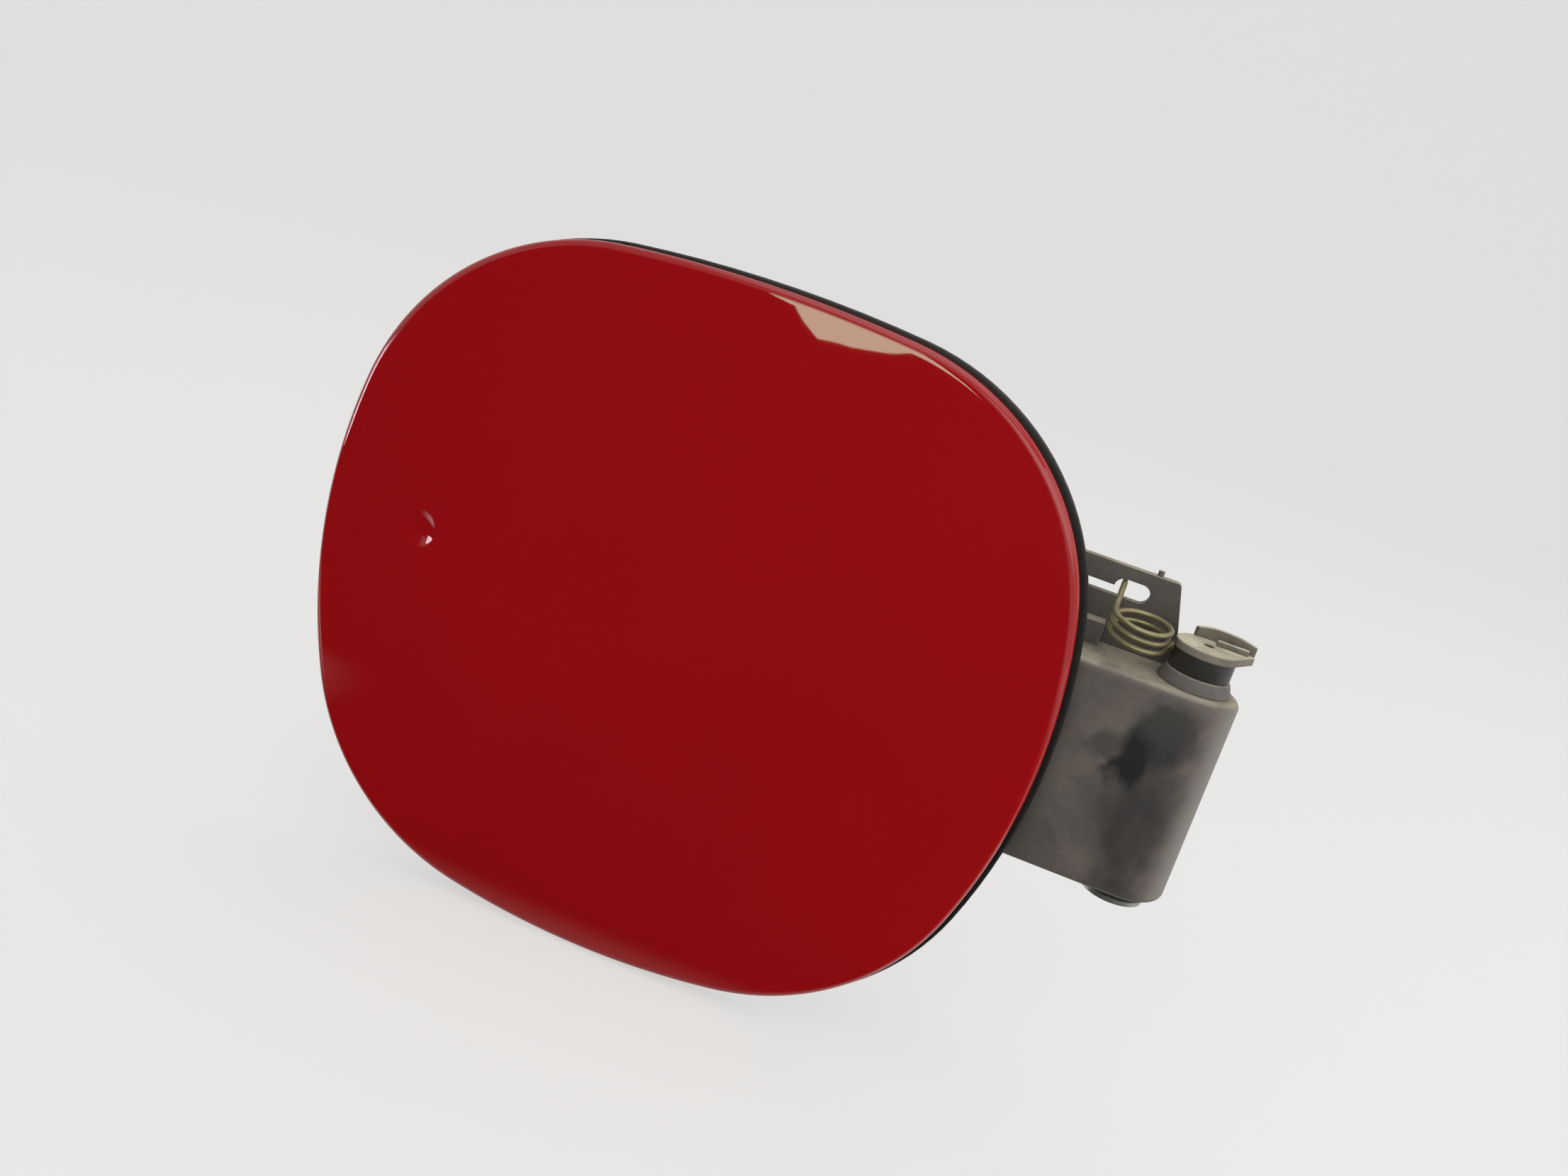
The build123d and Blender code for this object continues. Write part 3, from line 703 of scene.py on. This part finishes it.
def sink_hole(bm, sides, radius, top, depth):
    """Opens the top face, the one with the most corners, and sinks a hole with some sides in it."""
    top_face = max(bm.faces, key=lambda f: len(f.verts))
    top_edges = list(top_face.edges)
    bmesh.ops.delete(bm, geom=[top_face], context="FACES_ONLY")
    mouth = bmesh.ops.create_circle(
        bm, segments=sides, radius=radius, matrix=Matrix.Translation((0, 0, top)))["verts"]
    mouth_edges = [e for e in bm.edges if all(v in mouth for v in e.verts)]
    bmesh.ops.triangle_fill(bm, edges=top_edges + mouth_edges, use_beauty=True)
    bmesh.ops.contextual_create(bm, geom=draw_out(bm, mouth_edges, (0, 0, -depth)))


sink_hole(pin, HOLE_SIDES, HOLE_RADIUS, HEAD_TOP, HOLE_DEPTH)
print("pin with its hole:", len(pin.faces), "faces")

# %% Add the head's wall and rib
WALL_FROM = radians(119)
WALL_STEPS = 10
WALL_CUTS = 8
WALL_WIDTH = 1.4
WALL_FOOT = HEAD_TOP - HEAD_ROUND
WALL_TOP = 63.45
WALL_CROWN = 0.25
WALL_CROWN_X = 3.6
WALL_BOW = 0.018
WALL_ROUND = 0.3
RIB_SIZE = (7.0, 1.4, 1.7)
RIB_CENTRE = (5.1, 2.9, 61.2)

wall = bmesh.new()
first = wall.verts.new((HEAD_RADIUS * cos(WALL_FROM), HEAD_RADIUS * sin(WALL_FROM), WALL_FOOT))
spun = bmesh.ops.spin(
    wall, geom=[first], cent=(0, 0, WALL_FOOT), axis=(0, 0, -1), steps=WALL_STEPS,
    angle=WALL_FROM - back_bearing)
last = picked(spun["geom_last"], bmesh.types.BMVert)[0]
tip_back = wall.verts.new((*TIP_BACK, WALL_FOOT))
wall.edges.new((last, tip_back))
bmesh.ops.subdivide_edges(wall, edges=[tip_back.link_edges[0]], cuts=WALL_CUTS)
inner = bmesh.ops.extrude_edge_only(wall, edges=wall.edges[:])["geom"]
for vert in picked(inner, bmesh.types.BMVert):
    outward = Vector((cos(back_bearing), sin(back_bearing), 0))
    if vert.co.x < HEAD_RADIUS * cos(back_bearing):
        outward = Vector((vert.co.x, vert.co.y, 0)).normalized()
    vert.co -= outward * WALL_WIDTH
sides = bmesh.ops.extrude_face_region(wall, geom=wall.faces[:])["geom"]
bmesh.ops.translate(wall, vec=(0, 0, WALL_TOP - WALL_FOOT), verts=picked(sides, bmesh.types.BMVert))
for vert in wall.verts:
    if vert.co.z > WALL_FOOT + 1:
        vert.co.z += WALL_CROWN - WALL_BOW * (vert.co.x - WALL_CROWN_X) ** 2
bmesh.ops.recalc_face_normals(wall, faces=wall.faces)
round_edges(wall, WALL_ROUND, segments=3, corner=50)
rib = bmesh.ops.create_cube(wall, size=1.0)["verts"]
bmesh.ops.scale(wall, vec=RIB_SIZE, verts=rib)
bmesh.ops.translate(wall, vec=RIB_CENTRE, verts=rib)
rib_edges = list(dict.fromkeys(e for v in rib for e in v.link_edges))
round_off(wall, rib_edges, WALL_ROUND, segments=3)
scratch_mesh = bpy.data.meshes.new("head_wall")
wall.to_mesh(scratch_mesh)
wall.free()
pin.from_mesh(scratch_mesh)
bpy.data.meshes.remove(scratch_mesh)
finish_piece("pivot_pin", pin, pin_plastic, "pivot", ["hinge_pin"])

# %% [markdown]
# ## The clip, the screws and the buffers
# The clip is an open ring stamped from sheet, so its edges are only broken a little. A screw is a turned
# head and shank with a six-sided socket. The buffers are soft buttons whose barbed stems pass through the
# carrier. One of each kind is turned along Z, laid over to point into the car, and copied to its places.

# %% Make the clip
softened("retaining_clip", "pin_clip", bright_zinc, "pivot", width=0.12)

# %% Make the screws
SCREW_RADIUS = 2.0
SCREW_POINT = 0.5
SCREW_HEAD_HEIGHT = 2.8
SCREW_CROWN = 1.0
HEX_RADIUS = 1.8
HEX_DEPTH = 1.6
ARM_SEAT_Y = -8.0
ARM_SCREW_PLACES = [(x, z) for x in (-86, -46) for z in (12.65, 42.65)]
STRIKER_SEAT_Y = -13.0
STRIKER_SCREW_PLACES = [(-170.9, z) for z in (20.65, 34.65)]
INTO_CAR = Matrix.Rotation(radians(-90), 3, "X")


def pan_screw(head_radius, length):
    """A pan-head screw with a hexagon socket, its head's seat at the origin and its head along +Y."""
    bm = turned([
        (0, -length), (SCREW_RADIUS - SCREW_POINT, -length), (SCREW_RADIUS, SCREW_POINT - length),
        (SCREW_RADIUS, 0), (head_radius, 0), (head_radius, SCREW_HEAD_HEIGHT)])
    crown = [e for e in bm.edges if e.is_boundary]
    bmesh.ops.contextual_create(bm, geom=crown)
    round_off(bm, crown, SCREW_CROWN, segments=6)
    sink_hole(bm, sides=6, radius=HEX_RADIUS, top=SCREW_HEAD_HEIGHT, depth=HEX_DEPTH)
    bmesh.ops.recalc_face_normals(bm, faces=bm.faces)
    bmesh.ops.rotate(bm, cent=(0, 0, 0), matrix=INTO_CAR, verts=bm.verts)
    return bm


def placed_group(name, one, places, seat_y, material, node):
    """Puts a copy of one fastener at each place, as a single piece."""
    mesh = bpy.data.meshes.new(name + "_one")
    one.to_mesh(mesh)
    one.free()
    group = bmesh.new()
    for x, z in places:
        before = set(group.verts)
        group.from_mesh(mesh)
        bmesh.ops.translate(group, vec=(x, seat_y, z), verts=[v for v in group.verts if v not in before])
    bpy.data.meshes.remove(mesh)
    finish_piece(name, group, material, "door", [node])


placed_group(
    "arm_fixing_screws", pan_screw(head_radius=4.0, length=11.5), ARM_SCREW_PLACES, ARM_SEAT_Y,
    bright_zinc, "arm_screws")
placed_group(
    "striker_fixing_screws", pan_screw(head_radius=3.5, length=6.0), STRIKER_SCREW_PLACES, STRIKER_SEAT_Y,
    bright_zinc, "striker_screws")

# %% Make the buffers
CARRIER_BACK_Y = -14.5
BUFFER_X = -150.4
BUFFERS = [("upper_stop_buffer", "upper_buffer", 69.65), ("lower_stop_buffer", "lower_buffer", -14.35)]
BUTTON_RADIUS = 6.0
BUTTON_HEIGHT = 6.0
BUTTON_ROUND = 2.5
STEM_RADIUS = 2.5
BARB_RADIUS = 3.5
BARB_TIP_RADIUS = 2.345
BARB_FROM = -2.2
BARB_TIP = -4.2
BUTTON_PROFILE = [
    (0, BARB_TIP), (BARB_TIP_RADIUS, BARB_TIP), (BARB_RADIUS, BARB_FROM), (STEM_RADIUS, BARB_FROM),
    (STEM_RADIUS, 0), (BUTTON_RADIUS, 0), (BUTTON_RADIUS, BUTTON_HEIGHT), (0, BUTTON_HEIGHT)]

for name, node, z in BUFFERS:
    button = turned(BUTTON_PROFILE)
    top_edges = [e for e in button.edges if all(abs(v.co.z - BUTTON_HEIGHT) < 0.001 for v in e.verts)]
    round_off(button, [e for e in top_edges if e.calc_face_angle() > 1], BUTTON_ROUND, segments=8)
    bmesh.ops.rotate(button, cent=(0, 0, 0), matrix=INTO_CAR, verts=button.verts)
    placed_group(name, button, [(BUFFER_X, z)], CARRIER_BACK_Y, rubber, node)

# %% [markdown]
# ## The hold-open spring
# A spring-bending machine feeds straight wire and bends it round pins. The same moves make it here: a
# circle of wire is drawn out along each straight run, spun round each bend's centre, and for the coil spun
# about two and a half turns while it moves down.

# %% Lay out the spring
WIRE_RADIUS = 0.6
WIRE_SIDES = 20
WIRE_BEND = 1.2
COIL_PLACE = Vector((-14.5, -0.5, 56.8))
COIL_RADIUS = 6.3
COIL_PITCH = 2.1
COIL_TURNS = 2.5
COIL_STEPS = 120
COIL_NOD = radians(9)
HOOK_X = -20.6
HOOK_Y = 7.1
HOOK_BACK_Y = 11.39
HOOK_Z = 65.85
HOOK_DROP = 4.0
HOOK_LEAD = 1.5
LEG_SEAT_RADIUS = 7.6
LEG_LENGTH = 8.2

climb = COIL_PITCH / (2 * pi * COIL_RADIUS)
axis_reach = hypot(COIL_PLACE.x, COIL_PLACE.y)
foot_angle = atan2(-COIL_PLACE.y, -COIL_PLACE.x) - acos((LEG_SEAT_RADIUS + COIL_RADIUS) / axis_reach)
sweep = 2 * pi * COIL_TURNS + foot_angle
coil_rise = COIL_PITCH * sweep / (2 * pi)
nod = Matrix.Rotation(COIL_NOD, 3, "X")
foot_arm = Vector((cos(foot_angle), sin(foot_angle), 0)) * COIL_RADIUS
coil_foot = COIL_PLACE + foot_arm
coil_centre = coil_foot - nod @ foot_arm
coil_axis = nod @ Vector((0, 0, 1))
coil_top = coil_centre + nod @ Vector((-COIL_RADIUS, 0, coil_rise))
top_way = (nod @ Vector((0, 1, climb))).normalized()
leg_way = (nod @ Vector((-sin(foot_angle), cos(foot_angle), -climb))).normalized()
print("coil sweeps", round(degrees(sweep)), "degrees")

# %% Bend the spring
BEND_STEP_DEGREES = 9


def bend(bm, ring, centre, axis, angle, steps, step_way=(0, 0, 0)):
    """Spins a ring of wire round a bend's centre."""
    spun = bmesh.ops.spin(
        bm, geom=ring, cent=centre, axis=axis, angle=angle, steps=steps, dvec=step_way)
    return picked(spun["geom_last"], bmesh.types.BMEdge)


def follow(bm, ring, corners):
    """Feeds and bends wire along a row of corners."""
    here = corners[0]
    for i in range(1, len(corners) - 1):
        way_in = (corners[i] - corners[i - 1]).normalized()
        way_out = (corners[i + 1] - corners[i]).normalized()
        angle = way_in.angle(way_out)
        start = corners[i] - way_in * WIRE_BEND * tan(angle / 2)
        ring = draw_out(bm, ring, start - here)
        inward = (way_out - way_in * way_out.dot(way_in)).normalized()
        steps = max(2, round(degrees(angle) / BEND_STEP_DEGREES))
        ring = bend(bm, ring, start + inward * WIRE_BEND, way_in.cross(way_out).normalized(), angle, steps)
        here = corners[i] + way_out * WIRE_BEND * tan(angle / 2)
    return draw_out(bm, ring, corners[-1] - here)


wire = bmesh.new()
hook_end = Vector((HOOK_X, HOOK_BACK_Y, HOOK_Z - HOOK_DROP))
bmesh.ops.create_circle(wire, segments=WIRE_SIDES, radius=WIRE_RADIUS, matrix=Matrix.Translation(hook_end))
start_ring = wire.edges[:]
ring = follow(wire, start_ring, [
    hook_end, Vector((HOOK_X, HOOK_BACK_Y, HOOK_Z)), Vector((HOOK_X, HOOK_Y, HOOK_Z)),
    coil_top + top_way * HOOK_LEAD, coil_top])
ring = bend(wire, ring, coil_centre, coil_axis, sweep, COIL_STEPS, -coil_axis * coil_rise / COIL_STEPS)
ring = draw_out(wire, ring, leg_way * LEG_LENGTH)
bmesh.ops.contextual_create(wire, geom=start_ring)
bmesh.ops.contextual_create(wire, geom=ring)
finish_piece("hold_open_spring", wire, wire_zinc, "door", ["hold_spring"])

# %% [markdown]
# ## Floor
# The floor is a pale studio bowl: a disc that turns up into a wall all round, so that no edge of it
# shows from any side. Its profile is one line spun round a full turn. The camera and shiny surfaces see it
# partly lit from within, which keeps it pale and even, and it still takes the part's shadow.

# %% Shape the floor
FLOOR_REACH = 1.5
COVE_RADIUS = 0.5
COVE_STEPS = 12
WALL_HEIGHT = 0.9
BOWL_STEPS = 96
BOWL_MERGE = 1e-5

floor_z = cad_box[0][2]
bowl = bmesh.new()
first = bowl.verts.new((0, 0, floor_z))
second = bowl.verts.new((FLOOR_REACH, 0, floor_z))
bowl.edges.new((first, second))
cove = bmesh.ops.spin(
    bowl, geom=[second], cent=(FLOOR_REACH, 0, floor_z + COVE_RADIUS), axis=(0, -1, 0),
    angle=radians(90), steps=COVE_STEPS)
raised = bmesh.ops.extrude_vert_indiv(bowl, verts=picked(cove["geom_last"], bmesh.types.BMVert))["verts"]
bmesh.ops.translate(bowl, vec=(0, 0, WALL_HEIGHT), verts=raised)
bmesh.ops.spin(
    bowl, geom=bowl.verts[:] + bowl.edges[:], cent=(0, 0, 0), axis=(0, 0, 1), angle=2 * pi,
    steps=BOWL_STEPS, use_merge=True)
bmesh.ops.remove_doubles(bowl, verts=bowl.verts, dist=BOWL_MERGE)
bmesh.ops.recalc_face_normals(bowl, faces=bowl.faces)
bmesh.ops.reverse_faces(bowl, faces=bowl.faces)
bowl_mesh = bpy.data.meshes.new("studio_floor")
bowl.to_mesh(bowl_mesh)
bowl.free()
bowl_mesh.shade_smooth()
studio_floor = bpy.data.objects.new("studio_floor", bowl_mesh)
bpy.context.scene.collection.objects.link(studio_floor)
print("floor at", round(floor_z / MM, 2), "mm")

# %% Colour the floor
FLOOR_LIFT = 0.68

card, _ = new_material("pale_matt_card")
card_shader = add_node(card, "ShaderNodeBsdfPrincipled", {
    "Base Color": linear("#E8E8E6"), "Roughness": 0.9, "Specular IOR Level": 0.1,
})
rays = add_node(card, "ShaderNodeLightPath")
seen = add_node(card, "ShaderNodeMath", {
    0: rays.outputs["Is Camera Ray"], 1: rays.outputs["Is Glossy Ray"],
}, operation="MAXIMUM")
seen_at_all = add_node(card, "ShaderNodeMath", {
    0: seen.outputs["Value"], 1: rays.outputs["Is Transmission Ray"],
}, operation="MAXIMUM")
lift = add_node(card, "ShaderNodeMath", {
    0: seen_at_all.outputs["Value"], 1: FLOOR_LIFT,
}, operation="MULTIPLY")
even_white = add_node(card, "ShaderNodeEmission", {"Color": linear("#F0EFED"), "Strength": 1.0})
card_mix = add_node(card, "ShaderNodeMixShader", {
    0: lift.outputs["Value"], 1: card_shader.outputs["BSDF"], 2: even_white.outputs["Emission"],
})
close_material(card, card_mix.outputs["Shader"])
bowl_mesh.materials.append(card)

# %% [markdown]
# ## Light
# The room gives an even soft light, with one softbox overhead, one in front and a window at the right, at a
# level where a colour renders about as it is written. Each lamp's power is worked out from how bright its
# face is, so a lamp can change its size and keep its look.

# %% Place the lamps
ROOM_STRENGTH = 0.6
LAMP_TARGET = Vector((-0.1, -0.02, 0.03))


def soft_light(name, place, width, height, radiance, mirrored=True):
    """A rectangular lamp that faces the flap, with its power worked out from its radiance."""
    data = bpy.data.lights.new(name, "AREA")
    data.shape = "RECTANGLE"
    data.size = width
    data.size_y = height
    data.energy = radiance * pi * width * height
    lamp = bpy.data.objects.new(name, data)
    lamp.location = place
    lamp.rotation_euler = (LAMP_TARGET - Vector(place)).to_track_quat("-Z", "Y").to_euler()
    lamp.visible_camera = False
    lamp.visible_glossy = mirrored
    bpy.context.scene.collection.objects.link(lamp)
    print(name, round(data.energy, 2), "W")


soft_light("overhead_softbox", (0.1, 0.1, 1.3), width=1.2, height=1.2, radiance=0.9)
soft_light("right_window", (0.9, 0.02, 0.3), width=0.5, height=0.5, radiance=4.5, mirrored=False)
soft_light("front_softbox", (0.0, -0.45, 0.45), width=0.5, height=0.3, radiance=1.65, mirrored=False)

world = bpy.data.worlds.new("room_light")
bpy.context.scene.world = world
world.use_nodes = True
room = world.node_tree.nodes["Background"]
room.inputs["Color"].default_value = linear("#F4F5F8")
room.inputs["Strength"].default_value = ROOM_STRENGTH

# %% [markdown]
# ### What the paint mirrors
# Glossy paint shows what stands in front of it, so a photographer arranges that too. Black flags on the
# floor and upright before the flap let the paint mirror a dark room, which makes it a deep red. A bright
# window strip shows in the flap's upper corner, and pale cards at the right draw a light line along its
# edge. A low window at the left and a pale patch of floor give the ding its arc and its bright spot, and a
# small flag keeps a second spot out of it. Only reflections see these cards, so they don't light the part.

# %% Make a card for reflections
def lying(left, right, near, far, height):
    """The corners of a rectangle that lies flat at a height."""
    return [(left, near, height), (right, near, height), (right, far, height), (left, far, height)]


def standing(start, end, low, high):
    """The corners of a rectangle that stands on the line from start to end."""
    return [(*start, low), (*end, low), (*end, high), (*start, high)]


def reflected_card(name, corners, colour, strength, fades=()):
    """A card, given by its corners in metres, that only shiny surfaces see. It may fade out along axes."""
    bm = bmesh.new()
    bmesh.ops.contextual_create(bm, geom=[bm.verts.new(corner) for corner in corners])
    mesh = bpy.data.meshes.new(name)
    bm.to_mesh(mesh)
    bm.free()
    material, place = new_material(name + "_face")
    glow = add_node(material, "ShaderNodeEmission", {"Color": linear(colour), "Strength": strength})
    surface = glow.outputs["Emission"]
    along = add_node(material, "ShaderNodeSeparateXYZ", {"Vector": place})
    for axis, full_at, gone_at in fades:
        cover = add_node(material, "ShaderNodeMapRange", {
            "Value": along.outputs[axis], "From Min": gone_at, "From Max": full_at,
        }, interpolation_type="SMOOTHSTEP")
        clear = add_node(material, "ShaderNodeBsdfTransparent")
        surface = add_node(material, "ShaderNodeMixShader", {
            0: cover.outputs["Result"], 1: clear.outputs["BSDF"], 2: surface,
        }).outputs["Shader"]
    close_material(material, surface)
    mesh.materials.append(material)
    piece = bpy.data.objects.new(name, mesh)
    for ray in ("camera", "diffuse", "shadow", "transmission", "volume_scatter"):
        setattr(piece, "visible_" + ray, False)
    bpy.context.scene.collection.objects.link(piece)


print("a card fades along each axis it is given, and only reflections see it")

# %% Hang the window strip and the black flags
WINDOW_Y = -1.0
WINDOW_TOP = 1.2
SILL = [
    (-0.45, WINDOW_TOP), (-0.317, 0.168), (-0.291, 0.147), (-0.268, 0.133), (-0.224, 0.137), (-0.164, 0.147),
    (-0.147, 0.153), (-0.123, 0.153), (-0.103, 0.148), (-0.073, 0.14), (-0.043, 0.13), (-0.043, WINDOW_TOP)]
FLAG_BLACK = "#101010"
FLAG_SIDE = 1.6
FLAG_BACK = -0.018
FLAG_FRONT = -1.15
FLAG_TOP = 1.4
FLAG_RIGHT = ("X", 0.08, 0.5)
FLAG_LEFT = ("X", -1.0, -1.5)
flag_z = floor_z + 1 * MM

reflected_card(
    "window_strip", [(x, WINDOW_Y, z) for x, z in SILL], "#E6FFDD", strength=8.1,
    fades=[("Z", 0.35, WINDOW_TOP)])
reflected_card(
    "flag_on_floor", lying(-FLAG_SIDE, FLAG_SIDE, FLAG_BACK, FLAG_FRONT, flag_z), FLAG_BLACK, strength=1.0,
    fades=[FLAG_RIGHT, FLAG_LEFT, ("Y", -0.034, -0.02)])
reflected_card(
    "flag_upright", standing((-FLAG_SIDE, FLAG_FRONT), (FLAG_SIDE, FLAG_FRONT), flag_z, FLAG_TOP),
    FLAG_BLACK, strength=1.0, fades=[FLAG_RIGHT, FLAG_LEFT, ("Z", 0.7, 1.3)])

# %% Place the pale cards
CARD_WHITE = "#FFFFFF"
CARD_TOP = 1.4
CARD_RIGHT = 1.4
CARD_CORNER = (CARD_RIGHT, -0.6)

reflected_card(
    "pale_card", standing((0.2, -1.0), CARD_CORNER, low=0.2, high=CARD_TOP), CARD_WHITE, strength=2.6,
    fades=[("X", 0.6, 0.2), ("Z", 0.5, 0.2)])
reflected_card(
    "pale_side_card", standing(CARD_CORNER, (CARD_RIGHT, 0.4), low=0.4, high=CARD_TOP), CARD_WHITE,
    strength=1.8, fades=[("Z", 0.7, 0.4)])

# %% Light the ding
LEFT_WINDOW_X = -0.6
LEFT_WINDOW_TOP = 0.07
DING_FLAG_Y = -0.075
pale_z = flag_z + 1 * MM

reflected_card(
    "left_window", standing((LEFT_WINDOW_X, -0.12), (LEFT_WINDOW_X, -0.32), flag_z, LEFT_WINDOW_TOP),
    "#FBEFFF", strength=12.0)
reflected_card(
    "pale_floor", lying(left=-0.35, right=-0.21, near=-0.1, far=-0.04, height=pale_z), CARD_WHITE,
    strength=1.9, fades=[("X", -0.27, -0.21), ("X", -0.28, -0.35), ("Y", -0.072, -0.1), ("Y", -0.06, -0.04)])
reflected_card(
    "flag_before_ding", standing((-0.185, DING_FLAG_Y), (-0.15, DING_FLAG_Y), low=0.025, high=0.06),
    FLAG_BLACK, strength=1.0)

# %% [markdown]
# ## Camera
# The photograph was taken from a little above and to the right of the flap's middle, with the part lying
# turned clockwise. The camera's place and turn were fitted to the flap's outline.

# %% Place the camera
AZIMUTH = radians(10.2)
ELEVATION = radians(16.0)
ROLL = radians(17.5)
FOCAL_PIXELS = 2170
IMAGE_WIDTH = 2212
SENSOR_MM = 36
CAMERA_PLACE = Vector((-31.8, -327.5, 135.7))

back = Vector((sin(AZIMUTH) * cos(ELEVATION), -cos(AZIMUTH) * cos(ELEVATION), sin(ELEVATION)))
level = Vector((cos(AZIMUTH), sin(AZIMUTH), 0))
upright = back.cross(level)
right = cos(ROLL) * level + sin(ROLL) * upright
up = -sin(ROLL) * level + cos(ROLL) * upright
camera_data = bpy.data.cameras.new("photo_camera")
camera_data.sensor_fit = "HORIZONTAL"
camera_data.sensor_width = SENSOR_MM
camera_data.lens = SENSOR_MM * FOCAL_PIXELS / IMAGE_WIDTH
camera_data.clip_start = 0.01
camera = bpy.data.objects.new("photo_camera", camera_data)
turn = Matrix((right, up, back)).transposed().to_4x4()
camera.matrix_world = Matrix.Translation(CAMERA_PLACE * MM) @ turn
bpy.context.scene.collection.objects.link(camera)
bpy.context.scene.camera = camera
bpy.context.scene.view_settings.view_transform = "Standard"
print("lens", round(camera_data.lens, 2), "mm")
